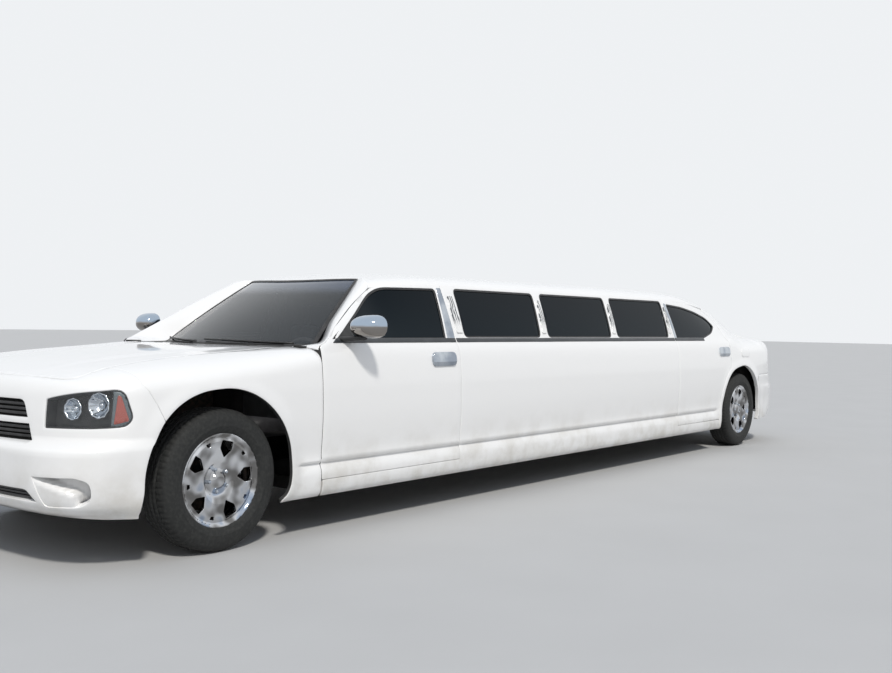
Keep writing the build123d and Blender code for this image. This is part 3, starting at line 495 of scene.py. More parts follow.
def panel_sheet(outline, holes=(), step=0.03, lines=()):
    """Points and triangles, still flat, inside the outline and outside the holes.

    lines are (a, b) runs of extra points, for a crease that must stay sharp."""
    loops = [outline if area_of(outline) > 0 else outline[::-1]]
    loops += [hole if area_of(hole) < 0 else hole[::-1] for hole in holes]
    low, high = outline.min(axis=0), outline.max(axis=0)
    a, b = np.meshgrid(np.arange(low[0], high[0], step), np.arange(low[1], high[1], step))
    filling = np.stack((a.ravel(), b.ravel()), -1)
    if len(lines):
        runs = np.concatenate([np.asarray(run, float) for run in lines])
        keep = np.ones(len(filling), bool)
        for run in lines:
            level = np.mean([p[1] for p in run])
            keep &= np.abs(filling[:, 1] - level) > step * 0.35
        filling = np.concatenate((filling[keep], runs))
    filling = filling[crossings(filling, loops)]
    filling = filling[~near_edge(filling, loops, step * 0.4)]
    points = np.concatenate((*loops, filling))
    edges, start = [], 0
    for loop in loops:
        n = np.arange(len(loop))
        edges.append(np.stack((start + n, start + (n + 1) % len(loop)), -1))
        start += len(loop)
    flat, _, faces, _, _, _ = delaunay_2d_cdt(
        [Vector(p) for p in points], [tuple(map(int, e)) for e in np.concatenate(edges)], [], 0, 1e-7
    )
    flat = np.array([(p.x, p.y) for p in flat])
    faces = np.array([f for f in faces if len(f) == 3])
    faces = faces[crossings(flat[faces].mean(axis=1), loops)]
    return flat, faces, loops


def slopes(surface, a, b, h=0.004):
    """The surface's two tangents, by small differences."""
    along_a = (surface(a + h, b) - surface(a - h, b)) / (2 * h)
    along_b = (surface(a, b + h) - surface(a, b - h)) / (2 * h)
    return along_a, along_b


def normal_of(surface, a, b):
    """The surface's unit normal: the cross product of its two tangents."""
    return unit(np.cross(*slopes(surface, a, b)))


def panel(name, surface, outline, finish, body="body", side=1, holes=(), step=0.03, lines=(), stands_for=(),
          radius=0.0025, depth=0.016, inward=-TO_LEFT, shut=None):
    """A pressed panel: sheet, small edge radius and a return as deep as depth, on one side of the car.

    inward says which way is into the car, for a panel drawn on the left side or across the middle. shut is
    a second finish, painted shade on the return of a panel whose shut line shows dark."""
    flat, faces, loops = panel_sheet(outline, holes, step, lines)
    points = surface(flat[:, 0], flat[:, 1])
    facing = np.cross(
        points[faces[:, 1]] - points[faces[:, 0]], points[faces[:, 2]] - points[faces[:, 0]]
    ).sum(axis=0)
    flat_area = np.cross(flat[faces[:, 1]] - flat[faces[:, 0]], flat[faces[:, 2]] - flat[faces[:, 0]]).sum()
    outside = -1 if facing @ inward > 0 else 1
    if outside < 0:
        faces = faces[:, ::-1]
    sign = outside * (1 if flat_area > 0 else -1)
    all_points, all_faces, count = [points], [faces], len(points)
    for loop in loops:
        at = surface(loop[:, 0], loop[:, 1])
        normal = normal_of(surface, loop[:, 0], loop[:, 1])
        run = np.roll(at, -1, axis=0) - np.roll(at, 1, axis=0)
        edge = unit(np.cross(run, normal))
        out = normal * sign
        turn = np.radians([0, 30, 60, 90])
        rows = [at + edge * radius * math.sin(t) - out * radius * (1 - math.cos(t)) for t in turn]
        rows.append(rows[-1] - out * depth)
        strip = np.stack(rows)
        grid = quads(len(rows), len(loop), wrap=True) + count
        across = np.cross(strip[0, 1] - strip[0, 0], strip[1, 0] - strip[0, 0])
        if (across @ (edge[0] + out[0])) < 0:
            grid = grid[:, ::-1]
        all_points.append(strip.reshape(-1, 3))
        all_faces.append(grid)
        count += len(rows) * len(loop)
    points = with_side(np.concatenate(all_points), side)
    mixed = [f for group in all_faces for f in (group if side > 0 else group[:, ::-1])]
    made = piece(name, points, mixed, finish, body, stands_for, weld=2e-5)
    if shut is not None:
        made.data.materials.append(shut.material)
        deep = [False] * len(faces)
        for group in all_faces[1:]:
            deep += [k >= len(group) * 3 // 4 for k in range(len(group))]
        if len(deep) == len(made.data.polygons):
            made.data.polygons.foreach_set("material_index", [int(d) for d in deep])
    return made


# %% [markdown]
# ## The car's skin as stations
#
# Seen from above, the body has one outline low down, at the bumpers, and another at lamp height. A station
# names a place on them, counted in metres of the low outline: it equals x along the straight side and goes
# on round the nose and the tail. Above the side the skin rolls over the shoulder to an edge, which is the
# bonnet's seam in front and the boot lid's seam behind.

# %% Station tables
nose_stations = {
    "u": [2.69, 2.76, 3.00, 3.322, 3.50, 3.80, 3.954, 4.087, 4.217, 4.342, 4.543, 4.743, 4.943],
    "low_x": [2.69, 2.76, 3.00, 3.322, 3.50, 3.80, 3.950, 4.060, 4.130, 4.165, 4.183, 4.190, 4.192],
    "low_y": [0.945, 0.945, 0.945, 0.945, 0.945, 0.938, 0.905, 0.830, 0.720, 0.600, 0.400, 0.200, 0.0],
    "high_x": [2.69, 2.76, 3.00, 3.322, 3.50, 3.78, 3.890, 3.972, 4.040, 4.085, 4.122, 4.137, 4.141],
    "high_y": [0.945, 0.945, 0.945, 0.945, 0.943, 0.925, 0.883, 0.800, 0.690, 0.572, 0.385, 0.192, 0.0],
    "edge_x": [2.69, 2.76, 3.00, 3.322, 3.50, 3.79, 3.915, 3.980, 4.012, 4.032, 4.052, 4.062, 4.066],
    "edge_y": [0.680, 0.680, 0.675, 0.670, 0.670, 0.670, 0.668, 0.645, 0.590, 0.500, 0.350, 0.180, 0.0],
    "edge_z": [1.004, 1.002, 0.987, 0.966, 0.953, 0.918, 0.887, 0.864, 0.860, 0.864, 0.868, 0.868, 0.868],
    "side_top": [0.905, 0.895, 0.870, 0.840, 0.825, 0.805, 0.795, 0.785, 0.778, 0.775, 0.775, 0.775, 0.775],
    "climb": [0.080, 0.085, 0.085, 0.080, 0.078, 0.075, 0.060, 0.050, 0.050, 0.055, 0.060, 0.060, 0.060],
    "reach": [0.190, 0.180, 0.165, 0.160, 0.160, 0.150, 0.120, 0.090, 0.060, 0.040, 0.030, 0.028, 0.028],
    "drop": [0.000, 0.000, 0.004, 0.006, 0.006, 0.006, 0.006, 0.008, 0.008, 0.008, 0.006, 0.006, 0.006],
}
tail_stations = {
    "u": [
        -2.45, -2.73, -2.95, -3.15, -3.33, -3.50, -3.62, -3.791, -3.962, -4.104, -4.270, -4.474, -4.874,
    ],
    "low_x": [
        -2.45, -2.73, -2.95, -3.15, -3.33, -3.50, -3.62, -3.788, -3.950, -4.060, -4.130, -4.170, -4.192,
    ],
    "low_y": [0.945, 0.945, 0.945, 0.945, 0.943, 0.938, 0.925, 0.895, 0.840, 0.750, 0.600, 0.400, 0.0],
    "high_x": [
        -2.45, -2.73, -2.95, -3.15, -3.33, -3.50, -3.62, -3.780, -3.925, -4.020, -4.090, -4.135, -4.160,
    ],
    "high_y": [0.945, 0.945, 0.945, 0.943, 0.940, 0.930, 0.915, 0.885, 0.828, 0.742, 0.600, 0.400, 0.0],
    "edge_x": [
        -2.45, -2.73, -2.95, -3.15, -3.33, -3.50, -3.62, -3.780, -3.915, -3.985, -4.060, -4.110, -4.135,
    ],
    "edge_y": [0.735, 0.712, 0.690, 0.672, 0.665, 0.675, 0.705, 0.706, 0.706, 0.700, 0.590, 0.390, 0.0],
    "edge_z": [1.325, 1.275, 1.215, 1.155, 1.102, 1.062, 1.043, 1.034, 1.023, 1.010, 1.005, 1.005, 1.005],
    "side_top": [0.905, 0.905, 0.905, 0.905, 0.905, 0.905, 0.905, 0.905, 0.900, 0.890, 0.880, 0.880, 0.880],
    "climb": [0.120, 0.115, 0.110, 0.105, 0.100, 0.095, 0.090, 0.085, 0.080, 0.075, 0.070, 0.070, 0.070],
    "reach": [0.085, 0.080, 0.075, 0.070, 0.075, 0.085, 0.100, 0.100, 0.080, 0.040, 0.030, 0.030, 0.030],
    "drop": [0.205, 0.175, 0.135, 0.095, 0.060, 0.030, 0.012, 0.010, 0.010, 0.010, 0.010, 0.010, 0.010],
}
half_width = 0.945
belt_height = 1.045
side_heights = [0.195, 0.208, 0.235, 0.298, 0.340, 0.384, 0.430, 0.520, 0.640, 0.780, 0.880,
                0.940, 0.980, 1.010, 1.030, 1.045]
side_insets = [0.052, 0.026, 0.012, 0.006, 0.007, 0.010, 0.011, 0.005, 0.000, 0.003, 0.010,
               0.017, 0.025, 0.036, 0.048, 0.058]
crease_heights = [0.340, 0.364, 0.384, 0.389, 0.394, 0.412]
crease_depths = [0.000, 0.007, 0.014, 0.012, -0.003, 0.000]
crease_begins, crease_ends = (-2.43, -2.34), (2.80, 2.87)
bumper_step = (0.560, 0.586)
corner_stations = (3.60, 4.10)
nose_heights = [0.245, 0.265, 0.300, 0.345, 0.400, 0.450, 0.560, 0.600, 0.700, 0.780, 0.900]
nose_insets = [0.110, 0.060, 0.026, 0.010, 0.002, 0.000, 0.000, 0.000, 0.004, 0.012, 0.020]
arches = {"front": (3.337, 0.377), "rear": (-2.993, 0.388)}
arch_angles = {
    "front": [-90, -17, 0, 27, 38, 48, 60, 71, 86, 110, 180, 190, 197, 204, 270],
    "rear": [-90, -16.6, -13.4, -5.4, 11.4, 29, 47.6, 79.5, 120, 152, 270],
}
arch_radii = {
    "front": [
        0.500, 0.485, 0.458, 0.461, 0.465, 0.463, 0.456, 0.447, 0.437, 0.436, 0.438, 0.436, 0.428, 0.408,
        0.400,
    ],
    "rear": [0.540, 0.535, 0.528, 0.508, 0.482, 0.470, 0.447, 0.402, 0.398, 0.398, 0.398],
}
flare_width, flare_height = 0.08, 0.010
print("stations: nose", len(nose_stations["u"]), "tail", len(tail_stations["u"]))


# %% The skin
def arch_curve(place, start, end, count=40, grown_by=0.0):
    """The edge of a wheel arch from angle to angle: its radius follows a table, wider towards the sill."""
    angle = np.linspace(start, end, count)
    radius = through(angle, arch_angles[place], arch_radii[place]) + grown_by
    x, z = arches[place]
    return np.stack((x + radius * np.cos(np.radians(angle)), z + radius * np.sin(np.radians(angle))), -1)


def flare(x, z):
    """How far the lip round each wheel arch stands out: a smooth fall over 80 mm from the arch's edge."""
    out = 0
    for place, (centre_x, centre_z) in arches.items():
        angle = np.degrees(np.arctan2(z - centre_z, x - centre_x))
        angle = np.where(angle < -90, angle + 360, angle)
        edge = through(angle, arch_angles[place], arch_radii[place])
        t = np.clip((np.hypot(x - centre_x, z - centre_z) - edge) / flare_width, 0, 1)
        out = out + flare_height * (1 - t) ** 2 * (1 + 2 * t)
    return out


def side_inset(x, z):
    """How far the side stands in from its widest line, with the crease above the sill between the wheels."""
    between = rise(x, *crease_begins) * (1 - rise(x, *crease_ends))
    return through(z, side_heights, side_insets) + between * through(z, crease_heights, crease_depths)


def station_skin(table):
    """The left half's skin over (u, b): b is the height up to the side's top, then the way along the roll.

    The side is a blend of the low and the high outline, set in by the side's section. The roll is a cubic
    Bezier curve from the side's top, first upwards and then level, to the edge."""
    sign = 1 if table["u"][-1] > 0 else -1

    def at(name, u):
        """One row of the table at the stations u."""
        return through(u, table["u"], table[name])

    def outline(u, weight):
        """The outline seen from above: the low one at weight 0, the high one at weight 1."""
        x = at("low_x", u) * (1 - weight) + at("high_x", u) * weight
        y = at("low_y", u) * (1 - weight) + at("high_y", u) * weight
        return x, y

    def parts(u, z):
        """Points of the side below its top, and the outline's direction there."""
        weight = rise(z, *bumper_step)
        x, y = outline(u, weight)
        fore, aft = outline(u + 0.01, weight), outline(u - 0.01, weight)
        run = np.stack((fore[0] - aft[0], fore[1] - aft[1]))
        run = run / np.maximum(np.hypot(*run), 1e-9)
        round_corner = rise(sign * u, *corner_stations)
        inset = side_inset(x, z) * (1 - round_corner)
        inset = inset + through(z, nose_heights, nose_insets) * round_corner
        inset = inset - flare(x, z) * (1 - round_corner)
        return np.stack((x + run[1] * inset, y - run[0] * inset, z), -1), run

    def surface(u, b):
        """The skin's points: the side up to its top, the roll above it."""
        u, b = pair(u, b)
        top = at("side_top", u)
        foot, run = parts(u, np.minimum(b, top))
        end = np.stack((at("edge_x", u), at("edge_y", u), at("edge_z", u)), -1)
        first, _ = parts(u, top)
        lifted = first + np.stack((np.zeros_like(u), np.zeros_like(u), at("climb", u)), -1)
        lifted[..., :2] += 0.12 * at("climb", u)[..., None] * np.stack((run[1], -run[0]), -1)
        back = first - end
        back[..., 2] = 0
        level = end + unit(back) * at("reach", u)[..., None]
        level[..., 2] -= at("drop", u)
        t = np.clip((b - top) / roll_length(u), 0, 1)[..., None]
        lower_half = first * (1 - t) ** 3 + lifted * 3 * t * (1 - t) ** 2
        curve = lower_half + level * 3 * t * t * (1 - t) + end * t**3
        return np.where((b > top)[..., None], curve, foot)

    def roll_length(u):
        """The way along the roll: 1.15 times the straight line from the side's top to the edge."""
        first, _ = parts(u, at("side_top", u))
        end = np.stack((at("edge_x", u), at("edge_y", u), at("edge_z", u)), -1)
        return np.linalg.norm(end - first, axis=-1) * 1.15

    def top_of(u):
        """The value of b at the skin's upper edge."""
        return at("side_top", u) + roll_length(u)

    surface.top_of = top_of
    return surface


nose_skin = station_skin(nose_stations)
tail_skin = station_skin(tail_stations)

cabin_x = [
    -3.60, -3.33, -2.95, -2.73, -2.45, -2.10, -1.75, -1.40,
    1.40, 1.60, 1.80, 1.95, 2.10, 2.30, 2.45, 2.58, 2.75,
]
rail_y = [
    0.700, 0.665, 0.690, 0.712, 0.735, 0.746, 0.750, 0.750,
    0.750, 0.745, 0.730, 0.708, 0.672, 0.757, 0.815, 0.866, 0.900,
]
rail_z = [
    1.045, 1.102, 1.215, 1.275, 1.325, 1.362, 1.380, 1.385,
    1.385, 1.384, 1.378, 1.366, 1.345, 1.227, 1.138, 1.062, 1.062,
]
belt_x = [-3.60, -3.30, -3.00, -2.73, -2.40, -2.00, 2.30, 2.70]
belt_y = [0.790, 0.838, 0.864, 0.880, 0.886, 0.887, 0.887, 0.885]


def cabin_side(x, z):
    """The doors and the stretched middle over (x, z): the side's section, then flat leaning glass.

    Above the belt y runs evenly from the belt to the rail, bowed out by 6 mm in the middle."""
    x, z = pair(x, z)
    low = half_width - side_inset(x, z) + flare(x, z)
    t = (z - belt_height) / (through(x, cabin_x, rail_z) - belt_height)
    foot = through(x, belt_x, belt_y)
    high = foot + (through(x, cabin_x, rail_y) - foot) * t + 0.006 * np.sin(np.pi * np.clip(t, 0, 1))
    return np.stack((x, np.where(z > belt_height, high, low), z), -1)


# %% [markdown]
# ## Roof shell
#
# The roof, the rear pillars and the frame of the rear window are drawn as one shell. Its height over
# (x, y) falls from the centreline to the rails, slowly at first and steeply at the edge.

# %% Roof shell
crown_x = [
    -3.66, -3.59, -3.30, -2.95, -2.83, -2.65, -2.45, -2.10, -1.60, -0.80,
    0.80, 1.32, 1.57, 1.82, 1.98, 2.07,
]
crown_z = [
    1.048, 1.052, 1.200, 1.378, 1.432, 1.454, 1.467, 1.480, 1.487, 1.488,
    1.481, 1.475, 1.470, 1.452, 1.428, 1.405,
]
edge_share = [0, 0.264, 0.528, 0.727, 0.859, 0.925, 0.964, 0.990, 1.0]
edge_fall = [0, 0.033, 0.131, 0.262, 0.410, 0.550, 0.680, 0.844, 1.0]


def roof_shell(x, y):
    """Height over (x, y): crown height less a fall that grows towards the rail."""
    x, y = pair(x, y)
    share = np.abs(y) / through(x, cabin_x, rail_y)
    rounder = rise(-x, 1.90, 2.75)
    inside = np.clip(share, 0, 1)
    fall = through(inside, edge_share, edge_fall) * (1 - rounder) + inside**1.7 * rounder
    fall = fall + np.maximum(share - 1, 0) * 6
    crown = through(x, crown_x, crown_z)
    return np.stack((x, y, crown - (crown - through(x, cabin_x, rail_z)) * fall), -1)


def header_x(y):
    """The roof's front edge, bowed back towards the pillars."""
    return 2.055 - 0.40 * y**2


left_half = np.linspace(0, 0.49, 14)
front_edge = np.stack((header_x(left_half), left_half), -1)
rail_run = np.linspace(2.062, -3.58, 240)
rail_edge = np.stack((rail_run, through(rail_run, cabin_x, rail_y)), -1)
back_edge = np.stack((np.full(12, -3.605), np.linspace(0.69, 0, 12)), -1)
half_roof = np.concatenate((front_edge, rail_edge, back_edge))
roof_outline = np.concatenate((half_roof, half_roof[::-1][1:-1] * (1, -1)))
glass_rows = np.linspace(0, 1, 16)
window_side = np.stack((-2.855 - 0.665 * glass_rows, 0.520 + 0.085 * glass_rows), -1)
window_foot = np.linspace(0.60, -0.60, 30)
window_head = np.linspace(-0.50, 0.50, 30)
rear_glass_outline = fine(np.concatenate((
    window_side,
    np.stack((-3.562 + 0.10 * (window_foot / 0.6) ** 2, window_foot), -1)[2:-2],
    window_side[::-1] * (1, -1),
    np.stack((-2.835 - 0.02 * (window_head / 0.5) ** 2, window_head), -1)[2:-2],
)), 0.03)
panel("roof_skin", roof_shell, fine(roof_outline, 0.03), paint, holes=[rear_glass_outline], step=0.05,
      stands_for=["roof_panel"], inward=-UPWARD, depth=0.012)


# %% [markdown]
# ## Nose, wings and bonnet
#
# The nose is one soft bumper moulding from arch to arch, with openings for the lamps, the grille and the
# scoops. The wings meet it along a slanting joint behind the lamps. Drawing all three on the same skin
# makes their edges run on smoothly across the joints.

# %% Openings in the nose
crease_rows = (0.376, 0.385, 0.394)
nose_end = nose_stations["u"][-1]


def whole_nose(u, b):
    """The nose skin carried on round the middle to the right side: u beyond the middle mirrors back."""
    u, b = pair(u, b)
    points = nose_skin(np.where(u > nose_end, 2 * nose_end - u, u), b)
    points[..., 1] = np.where(u > nose_end, -points[..., 1], points[..., 1])
    return points


def other_half(outline, middle=nose_end):
    """The same outline mirrored about the middle station."""
    return np.stack((2 * middle - outline[:, 0], outline[:, 1]), -1)[::-1]


lamp_outline = rounded([
    (4.333, 0.640, 0.006), (4.090, 0.643, 0.02), (3.915, 0.652, 0.03), (3.866, 0.690, 0.03),
    (3.905, 0.785, 0.02), (3.945, 0.850, 0.035), (4.060, 0.838, 0.04), (4.333, 0.776, 0.012),
], 0.012)
scoop_outline = rounded([
    (4.325, 0.438, 0.0), (4.285, 0.345, 0.03), (4.262, 0.300, 0.02), (4.080, 0.302, 0.03),
    (4.028, 0.335, 0.03), (4.035, 0.420, 0.035), (4.110, 0.440, 0.02),
], 0.010)


def across_nose(foot_u, low, head_u, high, foot_radius=0.0, head_radius=0.0, step=0.02):
    """A four-cornered outline from the left of the nose to the same stations on the right."""
    return rounded([
        (foot_u, low, foot_radius), (head_u, high, head_radius),
        (2 * nose_end - head_u, high, head_radius), (2 * nose_end - foot_u, low, foot_radius),
    ], step)


grille_high = across_nose(4.438, 0.683, 4.475, 0.769, 0.004, 0.035)
grille_low = across_nose(4.403, 0.583, 4.428, 0.660, 0.004, 0.004)
intake = across_nose(4.300, 0.318, 4.365, 0.376, 0.01, 0.02)
openings = (lamp_outline, scoop_outline, grille_high, grille_low, intake)
print("nose openings", [len(loop) for loop in openings], "edge points")

# %% Nose moulding
def seam_top(table_skin, stations, inset=0.0):
    """The skin's upper edge as (u, b) points, less an inset along the roll."""
    stations = np.asarray(stations, float)
    return np.stack((stations, table_skin.top_of(stations) - inset), -1)


joint_top = 3.838
bumper_rim = np.concatenate((
    arch_curve("front", -17, 39.2, 30),
    [(3.735, 0.745), (3.778, 0.803), (3.815, 0.868)],
    seam_top(nose_skin, np.linspace(joint_top, nose_end, 50)),
))
nose_foot = np.array([(4.3, 0.247), (4.0, 0.240), (3.84, 0.236)])
half_nose = np.concatenate((nose_foot, bumper_rim[:-1]))
bumper_outline = np.concatenate((half_nose, other_half(half_nose)))
panel("front_bumper_skin", whole_nose, fine(bumper_outline, 0.02), paint, step=0.022,
      holes=[lamp_outline, other_half(lamp_outline), grille_high, grille_low, intake,
             scoop_outline, other_half(scoop_outline)],
      stands_for=["front_bumper"], inward=-FORWARD, depth=0.03)

# %% Front wings
wing_arch = arch_curve("front", 40.0, 203, 110)
wing_outline = np.concatenate((
    [(2.687, 0.905), (2.687, 0.205)],
    [(wing_arch[-1, 0] + 0.006, 0.205)],
    wing_arch[::-1],
    [(3.728, 0.745), (3.771, 0.803), (3.808, 0.868)],
    seam_top(nose_skin, np.linspace(3.832, 2.687, 90), 0.002),
))
for side, name in sides:
    panel(f"front_wing_skin_{name}", nose_skin, fine(wing_outline, 0.016), paint, side=side, step=0.022,
          stands_for=[f"front_wing_{name}"], depth=0.02, shut=painted_gap_shade,
          lines=[[(x, z) for x in np.arange(2.70, 2.88, 0.02)] for z in crease_rows])

# %% [markdown]
# The bonnet is a nearly flat sheet with a raised middle between two soft shoulders. It is drawn as a height
# over (x, y), which keeps its seams with the wings exactly where the wings' own edges are.

# %% Bonnet
bonnet_x = [2.70, 2.76, 3.00, 3.12, 3.42, 3.72, 3.92, 4.02, 4.07]
bonnet_crown = [1.006, 1.005, 0.994, 0.986, 0.966, 0.935, 0.904, 0.882, 0.868]
seam_x = [2.70, 2.76, 3.00, 3.322, 3.50, 3.642, 3.79, 3.852, 3.915, 3.98, 4.03, 4.07]
seam_z = [1.004, 1.002, 0.987, 0.966, 0.953, 0.938, 0.918, 0.906, 0.887, 0.864, 0.853, 0.848]


def bonnet_top(x, y):
    """Height over (x, y): level across the middle, a soft shoulder at each side, then down to the seam."""
    x, y = pair(x, y)
    share = np.abs(y) / 0.668
    middle, seam = through(x, bonnet_x, bonnet_crown), through(x, seam_x, seam_z)
    height = middle - (middle - seam) * share**2.6
    shoulder_y = 0.36 + (3.95 - x) * 0.12
    raised = 0.007 * (1 - rise(np.abs(y), shoulder_y - 0.03, shoulder_y + 0.05)) * rise(4.02 - x, 0, 0.5)
    return np.stack((x, y, height + raised * rise(x, 2.76, 3.1)), -1)


seam_gap = 0.005
front_stations = np.linspace(3.915, nose_end, 30)
bonnet_front = np.stack((
    through(front_stations, nose_stations["u"], nose_stations["edge_x"]) - seam_gap,
    through(front_stations, nose_stations["u"], nose_stations["edge_y"]),
), -1)
bonnet_run = np.linspace(2.79, 3.90, 60)
bonnet_side = np.stack((
    bonnet_run,
    through(bonnet_run, nose_stations["edge_x"][:7], nose_stations["edge_y"][:7]) - seam_gap,
), -1)
half_bonnet = np.concatenate((bonnet_side, bonnet_front[:-1] * (1, 0.992)))
bonnet_outline = np.concatenate((half_bonnet, [(4.061, 0.0)], half_bonnet[::-1] * (1, -1)))
panel("bonnet_skin", bonnet_top, fine(bonnet_outline, 0.02), paint, "bonnet", step=0.03,
      stands_for=["bonnet"], inward=-UPWARD, depth=0.018)

# %% [markdown]
# ## Doors and stretched middle
#
# The doors and the welded-in middle share the cabin's side surface. Only the shut gaps and the window
# outlines are drawn; the surface does the rest. Each door's edge turns in as far as the trim sheet that
# comes later, so the door still looks right when it swings open.

# %% Side panels
window_low, window_high = 1.054, 1.374
fixed_windows = [
    (1.380, 1.360, 0.484, 0.430), (0.400, 0.354, -0.522, -0.577), (-0.605, -0.652, -1.515, -1.570),
]
front_window = rounded([
    (2.542, 1.045, 0.004), (2.085, 1.322, 0.05), (2.000, 1.360, 0.05),
    (1.532, 1.368, 0.035), (1.568, 1.045, 0.012),
], 0.018)
rear_window_outline = rounded([
    (-1.650, 1.046, 0.012), (-1.650, 1.352, 0.03), (-1.960, 1.332, 0.06), (-2.205, 1.296, 0.06),
    (-2.440, 1.240, 0.06), (-2.550, 1.160, 0.025), (-2.420, 1.094, 0.04), (-2.200, 1.046, 0.03),
], 0.018)


def crease_lines(x0, x1):
    """Rows of points that keep the crease and the sill's step sharp between two places."""
    runs = np.arange(min(x0, x1) + 0.012, max(x0, x1) - 0.012, 0.02)
    return [[(x, z) for x in runs] for z in crease_rows]


front_door_outline = fine(np.array([
    (2.681, 0.297), (2.681, 1.003), (2.672, 1.014), (2.634, 1.027), (2.459, 1.132), (2.283, 1.236),
    (2.060, 1.347), (1.985, 1.364), (1.900, 1.371), (1.700, 1.380), (1.482, 1.384), (1.482, 0.297),
]), 0.016)
door_lip, wing_lip = 0.045, 0.039
rear_door_outline = fine(np.concatenate((
    [(-1.600, 0.297), (-1.600, 1.382), (-1.75, 1.379), (-2.10, 1.361), (-2.40, 1.318), (-2.58, 1.255)],
    [(-2.665, 1.160), (-2.712, 1.017), (-2.720, 0.90)],
    arch_curve("rear", 53, -9.1, 60, door_lip),
)), 0.016)
print("rear door", len(rear_door_outline), "edge points")

for side, name in sides:
    panel(f"front_door_skin_{name}", cabin_side, front_door_outline, paint, f"door_front_{name}", side,
          holes=[front_window], step=0.03, lines=crease_lines(1.482, 2.681), shut=painted_gap_shade,
          stands_for=[f"door_front_{name}"], depth=0.05)
    panel(f"rear_door_skin_{name}", cabin_side, rear_door_outline, paint, f"door_rear_{name}", side,
          holes=[rear_window_outline], step=0.03, lines=crease_lines(-2.5, -1.6),
          stands_for=[f"door_rear_{name}"], depth=0.05)

middle_outline = fine(np.array([
    (2.674, 0.205), (2.674, 0.290), (1.475, 0.290), (1.475, 1.3835), (-1.593, 1.3835), (-1.593, 0.290),
    (-2.436, 0.290), (-2.442, 0.205),
]), 0.016)
window_holes = [
    rounded([
        (front_low, window_low, 0.045), (front_high, window_high, 0.045),
        (back_high, window_high, 0.045), (back_low, window_low, 0.045),
    ], 0.018)
    for front_low, front_high, back_low, back_high in fixed_windows
]
for side, name in sides:
    panel(f"middle_side_skin_{name}", cabin_side, middle_outline, paint, side=side, holes=window_holes,
          step=0.03, lines=crease_lines(-1.59, 1.47), stands_for=[f"body_side_{name}"], depth=0.03)

# %% [markdown]
# ## Tail
#
# The tail works like the nose: one skin from the rear doors round the corners, cut into rear wings and
# bumper. Near the doors it must agree with the cabin's side, so the two surfaces are blended there.

# %% Outlines in the tail
tail_end = tail_stations["u"][-1]


def whole_tail(u, b):
    """The tail skin carried on round the middle to the right side."""
    u, b = pair(u, b)
    points = tail_skin(np.where(u < tail_end, 2 * tail_end - u, u), b)
    points[..., 1] = np.where(u < tail_end, -points[..., 1], points[..., 1])
    return points


tail_lamp = rounded([
    (-3.985, 0.728, 0.02), (-4.128, 0.724, 0.02), (-4.135, 0.960, 0.03),
    (-3.960, 0.975, 0.03), (-3.905, 0.950, 0.03), (-3.925, 0.800, 0.03),
], 0.015)


def tail_b(u, z):
    """The skin's own coordinate for a height: above the side's top it counts the way along the roll."""
    top = through(u, tail_stations["u"], tail_stations["side_top"])
    edge = through(u, tail_stations["u"], tail_stations["edge_z"])
    return np.where(z > top, top + (z - top) * (tail_skin.top_of(u) - top) / (edge - top), z)


pillar_edge = np.array([(-2.449, 1.305), (-2.586, 1.258), (-2.672, 1.163), (-2.719, 1.017), (-2.727, 0.90)])
rear_wing_outline = np.concatenate((
    [(-3.345, 0.575), (-3.395, 0.690), (-4.10, 0.690), (-4.138, 0.705)],
    [(-4.145, 0.890)],
    seam_top(tail_skin, np.linspace(-4.112, -2.452, 120), 0.001),
    np.stack((pillar_edge[:, 0], tail_b(pillar_edge[:, 0], pillar_edge[:, 1])), -1),
    arch_curve("rear", 53, -18.5, 60, wing_lip),
    arch_curve("rear", -20, 152, 130),
))
print("rear wing outline", len(rear_wing_outline))

# %% Rear wings and rear bumper
def tail_side(u, b):
    """The tail skin, blended into the cabin's side between 2.70 and 3.10 m behind the middle."""
    u, b = pair(u, b)
    top = through(u, tail_stations["u"], tail_stations["side_top"])
    edge = through(u, tail_stations["u"], tail_stations["edge_z"])
    share = (edge - top) / (tail_skin.top_of(u) - top)
    height = np.where(b > top, top + (b - top) * share, b)
    weight = rise(-u, 2.70, 3.10)[..., None]
    return cabin_side(u, height) * (1 - weight) + tail_skin(u, b) * weight


for side, name in sides:
    panel(f"rear_wing_skin_{name}", tail_side, fine(rear_wing_outline, 0.018), paint, side=side,
          holes=[tail_lamp], step=0.024, depth=0.03)

tail_foot = np.array([(-3.395, 0.240), (-3.80, 0.250), (-4.30, 0.262), (-4.60, 0.262)])
half_tail = np.concatenate((
    [(-4.165, 0.714), (-4.150, 0.684), (-3.390, 0.683)], arch_curve("rear", 154, 202, 24), tail_foot,
))
rear_bumper_outline = np.concatenate((half_tail, other_half(half_tail, tail_end)))
panel("rear_bumper_skin", whole_tail, fine(rear_bumper_outline, 0.02), paint, step=0.03,
      stands_for=["rear_bumper"], inward=FORWARD, depth=0.03)

# %% [markdown]
# The boot lid bends from the deck over a lip into the face between the lamps. A height over (x, y) can't
# turn downwards, so its first parameter is instead the way along the metal.

# %% Boot lid
lid_run = np.array([0, 0.17, 0.33, 0.43, 0.495, 0.53, 0.60, 0.68, 0.75, 0.812])
lid_x = np.array([-3.622, -3.79, -3.95, -4.05, -4.115, -4.143, -4.156, -4.162, -4.165, -4.166])
lid_z = np.array([1.052, 1.046, 1.036, 1.028, 1.022, 1.004, 0.93, 0.85, 0.78, 0.722])


